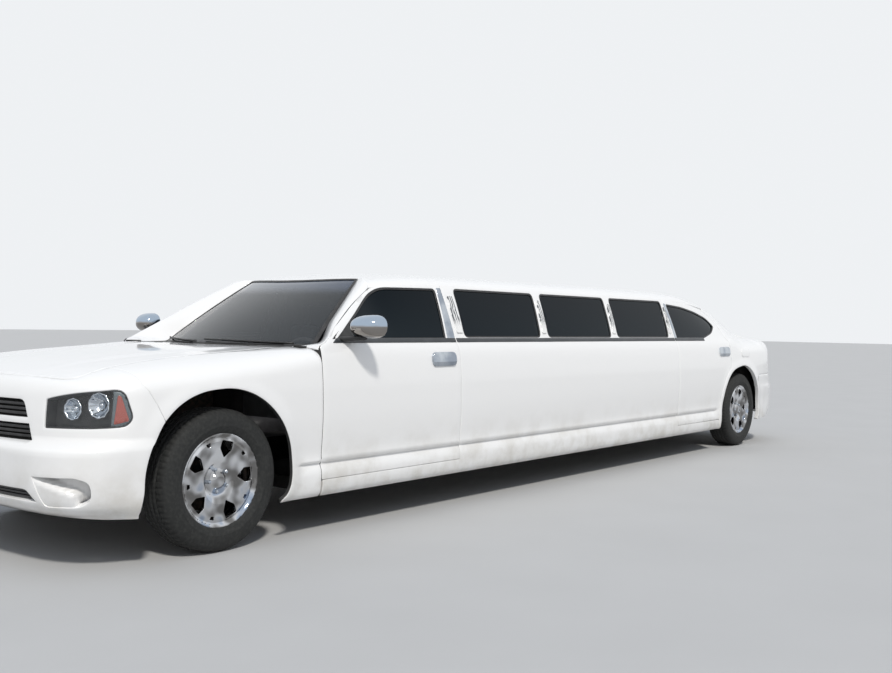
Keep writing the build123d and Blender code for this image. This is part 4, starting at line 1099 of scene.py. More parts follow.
def boot_lid(run, y):
    """The lid over (way from its front edge, y): deck, lip and face, bowed in plan like the bumper."""
    run, y = pair(run, y)
    bow = through(np.abs(y), [0, 0.2, 0.4, 0.6, 0.7, 0.75], [0, 0.006, 0.024, 0.068, 0.112, 0.142])
    weight = rise(run, 0.05, 0.50)
    fall = 0.010 * (np.abs(y) / 0.7) ** 2
    x, z = through(run, lid_run, lid_x), through(run, lid_run, lid_z)
    return np.stack((x + bow * weight, y, z - fall), -1)


lid_outline = rounded([
    (0.004, 0.695, 0.02), (0.808, 0.695, 0.02), (0.808, -0.695, 0.02), (0.004, -0.695, 0.02),
], 0.02)
panel("boot_lid_skin", boot_lid, lid_outline, paint, "boot_lid", step=0.024, stands_for=["boot_lid"],
      inward=FORWARD - UPWARD, depth=0.02)

# %% [markdown]
# ## Glass
#
# The side glass is nearly black, so a dark, very smooth coat reads as tinted glass at any angle. The
# windscreen must let the cabin show through, with a darker band along its top.

# %% Helpers for set-in pieces
def grown(outline, distance):
    """The closed outline moved outwards by distance along its own normals."""
    run = unit(np.roll(outline, -1, axis=0) - np.roll(outline, 1, axis=0))
    sign = 1 if area_of(outline) > 0 else -1
    return outline + sign * distance * np.stack((run[:, 1], -run[:, 0]), -1)


def sunk(surface, distance):
    """The surface moved along its own normal, which points into the car for side surfaces."""
    def moved(a, b):
        """The surface's point and distance times its unit normal."""
        return surface(a, b) + distance * normal_of(surface, a, b)
    return moved


# %% Side windows and rear window
def side_window(pane_name, seal_name, outline, body, side, stands_for=()):
    """A pane 10 mm inside the cabin's side, larger than its opening, and a seal 13 mm wide round it."""
    panel(pane_name, sunk(cabin_side, 0.010), grown(outline, 0.008), tint, body, side,
          step=0.05, radius=0.001, depth=0.004, stands_for=stands_for)
    panel(seal_name, sunk(cabin_side, 0.004), grown(outline, 0.001), black_trim, body, side,
          step=0.05, holes=[grown(outline, -0.012)], radius=0.002, depth=0.006)


for side, name in sides:
    for place, outline in (("front", front_window), ("rear", rear_window_outline)):
        side_window(f"door_glass_{place}_pane_{name}", f"window_seal_{place}_{name}", outline,
                    f"door_{place}_{name}", side, [f"door_glass_{place}_{name}"])
    for number, outline in enumerate(window_holes):
        side_window(f"fixed_glass_{number}_{name}", f"fixed_seal_{number}_{name}", outline,
                    "body", side, ["side_windows"] if side > 0 and number == 0 else ())

panel("rear_window_pane", sunk(roof_shell, -0.006), grown(rear_glass_outline, -0.002), tint, step=0.05,
      stands_for=["rear_window"], inward=FORWARD - UPWARD, radius=0.001, depth=0.004)

# %% [markdown]
# The windscreen is bent in plan and leans between two curves: its foot on the cowl and the roof's front
# edge. Straight lines from one curve to the other, bowed out a little, give that shape. The pillars fill
# the strip between its edge and the door, and the cowl the strip between it and the bonnet.

# %% Windscreen
screen_glass = Finish("windscreen_glass", Roughness=0.02, IOR=1.5, Coat_Weight=1.0, Coat_Roughness=0.01)
shade = screen_glass.axis("Z").step(1.30, 1.37)
screen_glass.feed("Base Color", screen_glass.blend(shade, (0.012, 0.020, 0.028), (0.010, 0.030, 0.070)))
screen_glass.feed("Alpha", shade * 0.32 + 0.55)

screen_half = 0.69
screen_length = 0.81
foot_bow = 0.504


def windscreen(y, run):
    """Glass over (y at its foot, way up): straight lines from foot to header, bowed out by 10 mm."""
    y, run = pair(y, run)
    foot = np.stack((2.762 - foot_bow * y**2, y, np.full_like(y, 1.000)), -1)
    top_y = y * 0.492 / screen_half
    top = roof_shell(header_x(top_y), top_y)
    t = (run / screen_length)[..., None]
    bulge = 0.010 * np.sin(np.pi * np.clip(t, 0, 1)) * np.array([0.45, 0, 0.9])
    return foot * (1 - t) + top * t + bulge


screen_outline = rounded([
    (-screen_half + 0.004, 0.012, 0.03), (screen_half - 0.004, 0.012, 0.03),
    (screen_half - 0.004, screen_length - 0.008, 0.03), (-screen_half + 0.004, screen_length - 0.008, 0.03),
], 0.03)
panel("windscreen_pane", sunk(windscreen, -0.004), screen_outline, screen_glass, step=0.06,
      stands_for=["windscreen"], inward=-FORWARD - UPWARD, radius=0.001, depth=0.004)
panel("windscreen_seal", sunk(windscreen, -0.001), grown(screen_outline, 0.006), black_trim, step=0.06,
      holes=[grown(screen_outline, -0.014)], inward=-FORWARD - UPWARD, radius=0.002, depth=0.006)

# %% Windscreen pillars
pillar_run = [-0.17, -0.10, 0.0, 0.25, 0.50, 0.76]
corner_top = roof_shell(header_x(0.49), 0.49)
inner_line = np.array([
    (2.686, 0.684, 1.004), (2.625, 0.688, 1.004), (2.524, 0.692, 1.006), *(
        np.array([2.524, 0.692, 1.006]) * (1 - t) + corner_top * t for t in (0.33, 0.66, 1.0)
    )
])
outer_line = np.array([
    (2.686, 0.900, 0.992), (2.676, 0.892, 1.013), (2.640, 0.889, 1.030), *(
        cabin_side(x, z) for x, z in ((2.465, 1.136), (2.289, 1.240), (2.066, 1.351))
    )
])


def screen_pillar(across, run):
    """Strip from the glass edge (0) to the door's frame (0.2 m): a line between them, crowned by 30 mm."""
    across, run = pair(across, run)
    inner = np.stack([through(run, pillar_run, inner_line[:, i]) for i in range(3)], -1)
    outer = np.stack([through(run, pillar_run, outer_line[:, i]) for i in range(3)], -1)
    t = (across / 0.2)[..., None]
    crown = 0.030 * (t * (1 - t)) * 4 * (0.35 + 0.65 * rise(run, -0.05, 0.2)[..., None])
    return inner * (1 - t) + outer * t + crown * np.array([0.30, 0.55, 0.75])


pillar_outline = rounded([
    (0.003, -0.166, 0), (0.197, -0.166, 0), (0.197, 0.757, 0), (0.003, 0.757, 0),
], 0.02)
for side, name in sides:
    panel(f"screen_pillar_{name}", screen_pillar, pillar_outline, paint, side=side, step=0.025,
          inward=np.array([-0.3, -0.5, -0.7]), depth=0.02)

# %% Cowl below the windscreen
def cowl_top(x, y):
    """A nearly level plastic panel between bonnet and glass."""
    x, y = pair(x, y)
    return np.stack((x, y, 0.998 + 0.010 * rise(2.80 - x, 0, 0.08) - 0.004 * (y / 0.6) ** 2), -1)


cowl_y = np.linspace(-0.675, 0.675, 50)
cowl_outline = fine(np.concatenate((
    np.stack((np.full(50, 2.783), cowl_y), -1),
    np.stack((2.766 - foot_bow * cowl_y**2 - 0.004, cowl_y), -1)[::-1],
)), 0.02)
panel("cowl_cover", cowl_top, cowl_outline, black_trim, step=0.03, inward=-UPWARD, depth=0.01)

# %% [markdown]
# ## Grille, lamps and scoops
#
# Behind each opening sits a dark box, and in it the parts that catch the light: slats in the grille,
# round reflectors in the headlamps. The clear lens closes the lamp flush with the body.

# %% Grille and lower intake
def slat(name, u0, height, depth_in, finish, thickness=0.009, stands_for=()):
    """A thin level bar that follows the nose from station u0 round to the same station on the right."""
    outline = across_nose(u0, height - thickness / 2, u0, height + thickness / 2)
    panel(name, sunk(whole_nose, depth_in), outline, finish, step=0.02, inward=-FORWARD, radius=0.002,
          depth=0.020, stands_for=stands_for)


for number, height in enumerate((0.600, 0.620, 0.641, 0.703, 0.724, 0.746)):
    replaced = ["grilles"] if number == 0 else ()
    slat(f"grille_slat_{number}", 4.395, height, 0.012, black_trim, stands_for=replaced)
for number, height in enumerate((0.334, 0.350, 0.364)):
    slat(f"intake_slat_{number}", 4.315, height, 0.014, black_trim, 0.006)
for name, u0, low_z, high_z in (("grille", 4.36, 0.574, 0.778), ("intake", 4.26, 0.305, 0.388)):
    behind = across_nose(u0, low_z, u0, high_z, step=0.03)
    panel(f"{name}_backing", sunk(whole_nose, 0.045), behind, underside, step=0.03, inward=-FORWARD,
          depth=0.004)

# %% Headlamps
silver = Finish("lamp_silver", Metallic=0.9, Roughness=0.22)
silver.mottle(20.0, (0.12, 0.145, 0.155), (0.18, 0.20, 0.21), edges=None)


def bowl(name, centre, aim, radius, side, finish):
    """Reflector: a paraboloid turned about aim, its wall waved into ten facets, with a bulb cap inside."""
    turn, out = np.meshgrid(np.linspace(0, 2 * np.pi, 60, endpoint=False), np.linspace(0, 1, 12))
    aim = np.array(aim) / np.linalg.norm(aim)
    across = np.cross(aim, [0, 0, 1.0])
    across /= np.linalg.norm(across)
    upward = np.cross(across, aim)
    reach = radius * (0.12 + 0.88 * out) * (1 - 0.03 * np.cos(10 * turn) * out)
    back = 0.045 * (1 - out**2)
    points = (
        np.array(centre)
        + reach[..., None] * (np.cos(turn)[..., None] * across + np.sin(turn)[..., None] * upward)
        - back[..., None] * aim
    )
    rim = points[-1] - aim * 0.004 + (points[-1] - np.array(centre)) * 0.06
    points = np.concatenate((points, rim[None]))
    cap = np.array(centre) - 0.030 * aim + 0.016 * (
        np.cos(turn)[..., None] * across * np.cos(out * 1.5)[..., None]
        + np.sin(turn)[..., None] * upward * np.cos(out * 1.5)[..., None]
        + np.sin(out * 1.5)[..., None] * aim
    )
    faces = quads(13, 60, wrap=True)
    cap_faces = quads(12, 60, wrap=True) + points.reshape(-1, 3).shape[0]
    points = with_side(np.concatenate((points.reshape(-1, 3), cap.reshape(-1, 3))), side)
    faces = np.concatenate((turned_faces(faces[:, ::-1], side), turned_faces(cap_faces, side)))
    return piece(name, points, faces, finish)


def scoop_floor(u, b):
    """The nose skin pressed in: 4 mm on the light floor, 58 mm above a slanting line and at its end."""
    above = rise(b - 0.355 - 0.316 * (u - 4.085), -0.006, 0.016)
    deep = 0.004 + 0.054 * np.maximum(above * rise(4.33 - u, 0, 0.06), rise(4.12 - u, 0.0, 0.05))
    return nose_skin(u, b) + deep[..., None] * normal_of(nose_skin, u, b)


lamp_end = rounded([
    (4.002, 0.650, 0.0), (3.990, 0.838, 0.0), (3.955, 0.842, 0.02),
    (3.912, 0.788, 0.02), (3.875, 0.692, 0.02), (3.925, 0.659, 0.02),
], 0.012)
marker = rounded([
    (3.986, 0.668, 0.006), (3.964, 0.797, 0.008), (3.946, 0.790, 0.006), (3.901, 0.683, 0.008),
], 0.01)
for side, name in sides:
    panel(f"headlamp_lens_{name}", sunk(nose_skin, 0.001), grown(lamp_outline, -0.0035), clear_lens,
          side=side, step=0.02, radius=0.002, depth=0.006, stands_for=["headlamps"] if side > 0 else ())
    panel(f"headlamp_rim_{name}", sunk(nose_skin, 0.008), grown(lamp_outline, 0.001), black_trim, side=side,
          step=0.02, holes=[grown(lamp_outline, -0.006)], radius=0.001, depth=0.060)
    panel(f"headlamp_box_{name}", sunk(nose_skin, 0.068), grown(lamp_outline, 0.002), black_trim, side=side,
          step=0.03, depth=0.004)
    for number, (u, height, radius) in enumerate(((4.203, 0.733, 0.047), (4.075, 0.752, 0.056))):
        spot = sunk(nose_skin, 0.022)(np.array([u]), np.array([height]))[0]
        bowl(f"headlamp_bowl_{number}_{name}", spot, (1.0, 0.30, 0.05), radius, side, chrome)
    panel(f"headlamp_end_{name}", sunk(nose_skin, 0.016), lamp_end, silver, side=side, step=0.02, depth=0.02)
    panel(f"side_marker_{name}", sunk(nose_skin, 0.009), marker, amber_lens, side=side, step=0.015,
          depth=0.006)
    panel(f"scoop_floor_{name}", scoop_floor, grown(scoop_outline, 0.003), paint, side=side, step=0.012,
          depth=0.004)

# %% [markdown]
# Each tail lamp is one red lens set into the rear wing, with a pale reversing lamp on it. Both follow the
# tail's own skin, so they need only an outline each.

# %% Tail lamps
reversing = rounded([
    (-4.000, 0.755, 0.01), (-4.110, 0.752, 0.01), (-4.112, 0.795, 0.01), (-3.985, 0.800, 0.01),
], 0.012)
for side, name in sides:
    panel(f"tail_lamp_lens_{name}", sunk(tail_side, 0.001), grown(tail_lamp, -0.003), red_lens, side=side,
          step=0.02, radius=0.003, depth=0.03, stands_for=["tail_lamps"] if side > 0 else ())
    panel(f"reversing_lamp_{name}", sunk(tail_side, -0.002), reversing, silver, side=side, step=0.02,
          depth=0.004)

# %% [markdown]
# ## Bright trim
#
# Handles, mirror heads and the plates over the door pillars are chromed covers. A handle or a plate is the
# body's surface moved outwards and crowned, so it sits on the panel as the real cover does.

# %% Handles, pillar plates and flap
def cushioned(surface, low, high, lift, crown):
    """The surface lifted, with a crown that is highest halfway between the heights low and high."""
    def moved(a, b):
        """The surface's point, moved outwards by the lift and by a half circle's height times the crown."""
        t = np.clip((b - low) / (high - low), 0, 1)
        rounding = np.sqrt(np.clip(1 - (2 * t - 1) ** 2, 0, 1))
        return surface(a, b) - (lift + crown * rounding)[..., None] * normal_of(surface, a, b)
    return moved


def plate(name, surface, corners, finish, body, side, lift=0.004, crown=0.010, depth=0.012, step=0.012):
    """A crowned cover with rounded corners."""
    heights = [c[1] for c in corners]
    cover = cushioned(surface, min(heights) - 0.004, max(heights) + 0.004, lift, crown)
    panel(name, cover, rounded(corners, 0.01), finish, body, side, step=step, radius=0.002, depth=depth)


for side, name in sides:
    for place, x0, x1 in (("front", 1.533, 1.757), ("rear", -2.668, -2.449)):
        corners = [(x0, 0.883, 0.030), (x1, 0.883, 0.030), (x1, 0.967, 0.030), (x0, 0.967, 0.030)]
        plate(f"{place}_handle_{name}", cabin_side, corners, chrome, f"door_{place}_{name}", side)
    plate(f"front_pillar_plate_{name}", cabin_side,
          [(1.486, 1.046, 0.004), (1.556, 1.046, 0.004), (1.522, 1.368, 0.008), (1.486, 1.368, 0.004)],
          chrome, f"door_front_{name}", side, 0.003, 0.0, 0.004)
    plate(f"rear_pillar_plate_{name}", cabin_side,
          [(-1.642, 1.044, 0.004), (-1.608, 1.044, 0.004), (-1.608, 1.350, 0.004), (-1.642, 1.350, 0.012)],
          chrome, f"door_rear_{name}", side, 0.003, 0.0, 0.004)

flap = [(-3.150, 0.868, 0.04), (-2.960, 0.868, 0.04), (-2.960, 0.964, 0.04), (-3.150, 0.964, 0.04)]
plate("fuel_flap", tail_side, flap, paint, "body", 1, 0.003, 0.002)
plate("fuel_flap_match", tail_side, flap, paint, "body", -1, 0.003, 0.002)

# %% [markdown]
# A dark moulding closes the gap at the foot of the windows. It is made as three strips on each side, because
# two of them swing away with the doors.

# %% Belt mouldings
def strip(name, x0, x1, body, side, slant=0.0):
    """A strip along the foot of the windows, up to 5 mm proud; slant draws its front corner back."""
    corners = [(x0, 1.028, 0), (x1, 1.028, 0), (x1 - slant, 1.052, 0), (x0, 1.052, 0)]
    plate(name, cabin_side, corners, grey_strip, body, side, 0.002, 0.003, 0.006, 0.03)


for side, name in sides:
    strip(f"belt_strip_front_{name}", 1.486, 2.572, f"door_front_{name}", side, 0.038)
    strip(f"belt_strip_middle_{name}", -1.588, 1.470, "body", side)
    strip(f"belt_strip_rear_{name}", -2.185, -1.604, f"door_rear_{name}", side)

# %% [markdown]
# Four slim lamps with fluted lenses stand on each side, on the pillars beside the fixed windows. The flutes
# are a cosine wave in the surface itself, so they catch the light from any side.

# %% Lamps on the pillars
def pillar_lamp(centre_x):
    """The cabin side moved out by 8 mm, with upright flutes 9 mm apart."""
    def face(x, z):
        """The cabin side's point, moved outwards and a little upwards by 8 mm and the wave."""
        wave = 0.0018 * np.cos(2 * np.pi * (x - centre_x) / 0.009)
        base = cabin_side(x, z)
        return base + (0.008 + wave)[..., None] * np.array([0, 0.93, 0.37])
    return face


lamp_places = [(1.420, 0.022, 0.029), (0.418, 0.016, 0.026), (-0.587, 0.016, 0.026), (-1.560, 0.010, 0.016)]
for side, name in sides:
    for number, (centre_x, half_top, half_foot) in enumerate(lamp_places):
        lean = 0.0 if number == 0 else 0.020
        corners = [
            (centre_x + lean - half_foot, 1.086, 0.008), (centre_x + lean + half_foot, 1.086, 0.008),
            (centre_x - lean + half_top, 1.318, 0.008), (centre_x - lean - half_top, 1.318, 0.008),
        ]
        replaced = ["pillar_lamps"] if side > 0 and number == 0 else ()
        panel(f"pillar_lamp_{number}_{name}", pillar_lamp(centre_x), rounded(corners, 0.005), fluted,
              side=side, step=0.0028, radius=0.002, depth=0.010, stands_for=replaced)

# %% [markdown]
# ## Door mirrors
#
# The head is egg-shaped: blunt at the glass, pointed forwards. Cross-sections are superellipses whose size
# falls from the glass forwards. A black foot joins it to the door's front corner.

# %% Mirrors
def ring(count, power):
    """Unit superellipse as (across, up) pairs."""
    t = np.linspace(0, 2 * np.pi, count, endpoint=False)
    both = np.stack((np.cos(t), np.sin(t)), -1)
    return np.sign(both) * np.abs(both) ** (2 / power)


def lofted(name, rows, finish, body, side):
    """A closed skin over rows of equal rings; both ends close on their own middles."""
    rows = np.array(rows)
    count = rows.shape[1]
    ends = rows[[0, -1]].mean(axis=1)
    points = np.concatenate((rows.reshape(-1, 3), ends))
    this = np.arange(count)
    following = (this + 1) % count
    last = (len(rows) - 1) * count
    first_end = np.stack((np.full(count, rows[..., 0].size), following, this), -1)
    second_end = np.stack((np.full(count, rows[..., 0].size + 1), last + this, last + following), -1)
    faces = [*quads(len(rows), count, wrap=True), *first_end, *second_end]
    return piece(name, with_side(points, side), faces, finish, body, closed=True)


egg = ring(56, 2.5)
glass_middle = np.array([2.392, 1.029, 1.121])
for side, name in sides:
    rows = []
    for t in np.linspace(0, 1, 22):
        size = np.sqrt(max(1 - (t * 0.995) ** 2.3, 0.0))
        middle = glass_middle + np.array([0.118, -0.030, -0.004]) * t
        rows.append(middle + np.concatenate((
            np.zeros((56, 1)), egg[:, :1] * 0.102 * size, egg[:, 1:] * 0.065 * size), axis=1))
    rim = rows[0] - glass_middle
    back = [
        glass_middle + rim * (1, share, share) + (sunk_by, 0, 0)
        for share, sunk_by in ((0.90, 0.010), (0.93, 0.001), (0.985, -0.002))
    ]
    lofted(f"mirror_head_{name}", back + rows, mirror_chrome, f"door_front_{name}", side)
    glass_rows = [
        glass_middle + rim * (1, share, share) + (0.0085 - 0.002 * (1 - share * share), 0, 0)
        for share in (0.89, 0.6, 0.3, 0.05)
    ]
    lofted(f"mirror_glass_{name}", glass_rows, chrome, f"door_front_{name}", side)
    foot_rows = []
    for t in np.linspace(0, 1, 12):
        spot = np.array([2.470 - 0.030 * t, 0.872 + 0.125 * t, 1.046 + 0.012 * t**1.5])
        wide = 0.052 - 0.018 * t
        tall = 0.018 - 0.004 * t
        foot_rows.append(spot + np.stack((egg[:, 0] * wide, egg[:, 1] * 0, egg[:, 1] * tall), -1))
    lofted(f"mirror_foot_{name}", foot_rows, black_trim, f"door_front_{name}", side)
    sail = rounded([(2.575, 1.042, 0.006), (2.385, 1.042, 0.006), (2.385, 1.150, 0.006)], 0.012)
    panel(f"mirror_sail_{name}", sunk(cabin_side, 0.001), sail, black_trim, f"door_front_{name}", side,
          step=0.02, depth=0.008, stands_for=[f"mirror_{name}"])

# %% [markdown]
# At rest the wipers lie low on the glass. An arm and a blade are each a round bar along a path, and the
# paths are lines on the windscreen's own surface, lifted off it.

# %% Wipers
def tube(name, path, radius, finish, body="body", count=14):
    """A round bar along a path, its ends closed."""
    path = np.asarray(path, float)
    run = unit(np.gradient(path, axis=0))
    side_way = unit(np.cross(run, UPWARD))
    up_way = np.cross(side_way, run)
    t = np.linspace(0, 2 * np.pi, count, endpoint=False)
    radius = np.broadcast_to(radius, len(path))
    rows = path[:, None] + radius[:, None, None] * (
        np.cos(t)[None, :, None] * side_way[:, None] + np.sin(t)[None, :, None] * up_way[:, None])
    return lofted(name, rows, finish, body, 1)


for number, (foot_y, tip_y) in enumerate(((0.60, -0.02), (-0.05, -0.62))):
    arm = np.linspace(0, 1, 16)
    arm_path = windscreen(foot_y + (tip_y - foot_y) * 0.75 * arm, 0.005 + 0.020 * arm) + (0.010, 0, 0.016)
    tube(f"wiper_arm_{number}", arm_path, 0.006, black_trim)
    blade_y = np.linspace(foot_y - 0.06 * np.sign(foot_y - tip_y), tip_y, 24)
    blade = windscreen(blade_y, 0.015 + 0.03 * np.linspace(0, 1, 24)) + (0.004, 0, 0.007)
    tube(f"wiper_blade_{number}", blade, 0.005, black_trim)

# %% [markdown]
# ## Wheels
#
# The rim's face is a chromed disc, dished towards the middle, with five kite-shaped windows and a small
# notch at the end of each flat spoke. The tyre is its section turned round the axle, with the grooves and
# shoulder blocks pressed into the same surface.

# %% Rims
rim_edge = 0.2365
axles = {"front": 3.322, "rear": -3.028}
axle_height = 0.3555
face_radius = [0.0, 0.028, 0.036, 0.048, 0.074, 0.095, 0.150, 0.195, 0.207, 0.213, 0.222, 0.231, 0.2365]
face_depth = [0.882, 0.882, 0.874, 0.862, 0.862, 0.872, 0.878, 0.880, 0.876, 0.874, 0.888, 0.892, 0.884]


def rim_face(axle_x):
    """Depth over the wheel's face from a table over the radius."""
    def face(x, z):
        """The point at (x, z) from the axle, as deep as the table says for its radius."""
        radius = np.hypot(x, z)
        return np.stack((axle_x + x, through(radius, face_radius, face_depth), axle_height + z), -1)
    return face


def polar(points, turn):
    """(radius, degrees, corner radius) to rounded-outline corners, turned by so many degrees."""
    angles = [math.radians(a + turn) for _, a, _ in points]
    return [(r * math.cos(angle), r * math.sin(angle), c) for (r, _, c), angle in zip(points, angles)]


def circle(radius, count=96):
    """Points round the middle at one radius."""
    t = np.linspace(0, 2 * np.pi, count, endpoint=False)
    return radius * np.stack((np.cos(t), np.sin(t)), -1)


window_kite = [
    (0.108, 0, 0.008), (0.158, -14.5, 0.008), (0.200, -10.5, 0.008),
    (0.202, 10.5, 0.008), (0.160, 13.5, 0.008),
]
notch_kite = [(0.178, -3.2, 0.003), (0.200, -4.5, 0.004), (0.200, 4.5, 0.004), (0.178, 3.2, 0.003)]
rim_holes = [rounded(polar(window_kite, 32 + 72 * k), 0.008) for k in range(5)]
rim_holes += [rounded(polar(notch_kite, 68 + 72 * k), 0.006) for k in range(5)]


def turned(profile, axle_x, side, count, wave=None):
    """A closed (radius, y) profile turned round the axle; wave(angle, index) adds to the radius."""
    profile = np.asarray(profile, float)
    angle = np.linspace(0, 2 * np.pi, count, endpoint=False)
    radius = np.repeat(profile[:, 0][None], count, axis=0)
    if wave is not None:
        radius = radius + wave(angle[:, None], np.arange(len(profile))[None])
    points = np.stack((
        axle_x + radius * np.cos(angle)[:, None], np.broadcast_to(profile[:, 1], radius.shape),
        axle_height + radius * np.sin(angle)[:, None],
    ), -1)
    rows, columns = points.shape[:2]
    r, c = np.meshgrid(np.arange(rows), np.arange(columns), indexing="ij")
    r2, c2 = (r + 1) % rows, (c + 1) % columns
    faces = np.stack((r * columns + c, r * columns + c2, r2 * columns + c2, r2 * columns + c), -1)
    return with_side(points.reshape(-1, 3), side), faces.reshape(-1, 4)


barrel = np.array([
    (0.236, 0.884), (0.231, 0.889), (0.222, 0.884), (0.212, 0.866), (0.206, 0.840), (0.204, 0.790),
    (0.204, 0.730), (0.212, 0.712), (0.232, 0.708), (0.236, 0.712), (0.226, 0.722), (0.212, 0.740),
    (0.211, 0.790), (0.214, 0.840), (0.222, 0.866), (0.232, 0.876),
])
print("rim holes", len(rim_holes), "barrel profile", len(barrel), "points")

# %% [markdown]
# The tyre's section is drawn once, from the bead over the outer sidewall to the middle of the tread, and
# mirrored for the inner half. Two thin ribs on the sidewall and four grooves round the tread are part of it.

# %% Tyres
tyre_section = np.array([
    (0.2290, 0.8830), (0.2330, 0.8925), (0.2400, 0.8960), (0.2480, 0.9000), (0.2560, 0.9036),
    (0.2660, 0.9062), (0.2680, 0.9072), (0.2720, 0.9072), (0.2740, 0.9066), (0.2860, 0.9072),
    (0.2980, 0.9068), (0.3000, 0.9060), (0.3040, 0.9060), (0.3060, 0.9056), (0.3160, 0.9036),
    (0.3250, 0.9004), (0.3330, 0.8960), (0.3400, 0.8900), (0.3450, 0.8840), (0.3480, 0.8780),
    (0.3500, 0.8720), (0.3515, 0.8640), (0.3525, 0.8560), (0.3530, 0.8500), (0.3450, 0.8490),
    (0.3450, 0.8430), (0.3535, 0.8420), (0.3545, 0.8300), (0.3550, 0.8200), (0.3462, 0.8190),
    (0.3462, 0.8120), (0.3552, 0.8110), (0.3555, 0.8000),
])
bead = [(0.2230, 0.7250), (0.2200, 0.7600), (0.2200, 0.8400), (0.2230, 0.8750)]
tyre_section = np.concatenate((tyre_section, (tyre_section * (1, -1) + (0, 1.6))[::-1][1:], bead))
tread_weight = rise(tyre_section[:, 0], 0.3385, 0.3495) * (tyre_section[:, 0] > 0.33)
shoulder = np.abs(tyre_section[:, 1] - 0.8) > 0.048


def tread(angle, index):
    """Blocks pressed into the tread: a groove every 5 degrees on the shoulders, a cut every 4 between."""
    cut = 0.006 * (np.cos(angle * 72) > 0.55) * shoulder[index]
    sipe = 0.0025 * (np.cos(angle * 90 + 1.2) > 0.80) * (1 - shoulder[index])
    return -(cut + sipe) * tread_weight[index]


bolt_circle = 0.0575
nut_radii = np.array([0.0105, 0.0105, 0.008, 0.0015])
nut_depths = np.array([0.858, 0.872, 0.8765, 0.878])


def wheel_nuts(axle_x):
    """Five six-sided nuts on the bolt circle: four rings of six points each, and two faces for the top."""
    six, level = np.meshgrid(np.linspace(0, 2 * np.pi, 6, endpoint=False), np.arange(4))
    nuts, faces = [], []
    for start, turn in zip(range(0, 120, 24), np.radians(68 + 72 * np.arange(5))):
        nuts.append(np.stack((
            axle_x + bolt_circle * np.cos(turn) + nut_radii[level] * np.cos(six + turn), nut_depths[level],
            axle_height + bolt_circle * np.sin(turn) + nut_radii[level] * np.sin(six + turn),
        ), -1).reshape(-1, 3))
        top = np.array([[18, 19, 20, 21], [21, 22, 23, 18]])
        faces += [quads(4, 6, wrap=True) + start, top + start]
    return np.concatenate(nuts), np.concatenate(faces)


# %% Wheels put together
for place, axle_x in axles.items():
    for side, name in sides:
        wheel = f"wheel_{place}_{name}"
        panel(f"rim_face_{place}_{name}", rim_face(axle_x), circle(rim_edge), wheel_chrome, wheel, side,
              holes=rim_holes, step=0.009, radius=0.002, depth=0.014, stands_for=[f"rim_{place}_{name}"])
        points, faces = turned(barrel, axle_x, side, 96)
        piece(f"rim_barrel_{place}_{name}", points, faces, wheel_chrome, wheel, closed=True)
        points, faces = turned(tyre_section, axle_x, side, 360, tread)
        piece(f"tyre_{place}_{name}_tread", points, faces, rubber, wheel, [f"tyre_{place}_{name}"],
              closed=True)
        points, faces = wheel_nuts(axle_x)
        piece(f"wheel_nuts_{place}_{name}", with_side(points, side), turned_faces(faces, side), chrome,
              wheel, smooth=False)

# %% [markdown]
# ## Inside the cabin
#
# The doors open, so the cabin needs its inner faces: a soft trim sheet 52 mm inside each door's skin and
# 34 mm inside the middle's, and a headliner 30 mm under the roof. Each is the outer panel's own surface,
# moved inwards.

# %% Inner trims
for side, name in sides:
    for place, outline, window in (
        ("front", front_door_outline, front_window), ("rear", rear_door_outline, rear_window_outline),
    ):
        panel(f"{place}_door_trim_{name}", sunk(cabin_side, 0.052), grown(outline, 0.0015), soft_trim,
              f"door_{place}_{name}", side, holes=[grown(window, 0.004)], step=0.05, depth=0.002,
              inward=TO_LEFT)
    panel(f"middle_trim_{name}", sunk(cabin_side, 0.034), grown(middle_outline, 0.0015), soft_trim,
          side=side, holes=[grown(hole, 0.004) for hole in window_holes], step=0.05, depth=0.002,
          inward=TO_LEFT)

lining = Finish("headliner", Roughness=0.9)
lining.mottle(25.0, (0.30, 0.30, 0.295), (0.36, 0.36, 0.355), edges=None)
lining.grain(500.0, 0.3, 0.0006)
panel("headliner", sunk(roof_shell, -0.030), grown(fine(roof_outline, 0.05), -0.03), lining,
      holes=[grown(rear_glass_outline, 0.02)], step=0.08, depth=0.004, inward=UPWARD)

# %% [markdown]
# A seat cushion is foam in a sewn leather cover: its sides bulge, its corners draw in, and its top is
# crowned and divided by channels. The car's seats are seen only through dark glass or an open door, so one
# formula for all of them stands in for a cloth simulation.

# %% Cushions
around, upwards = 88, 49


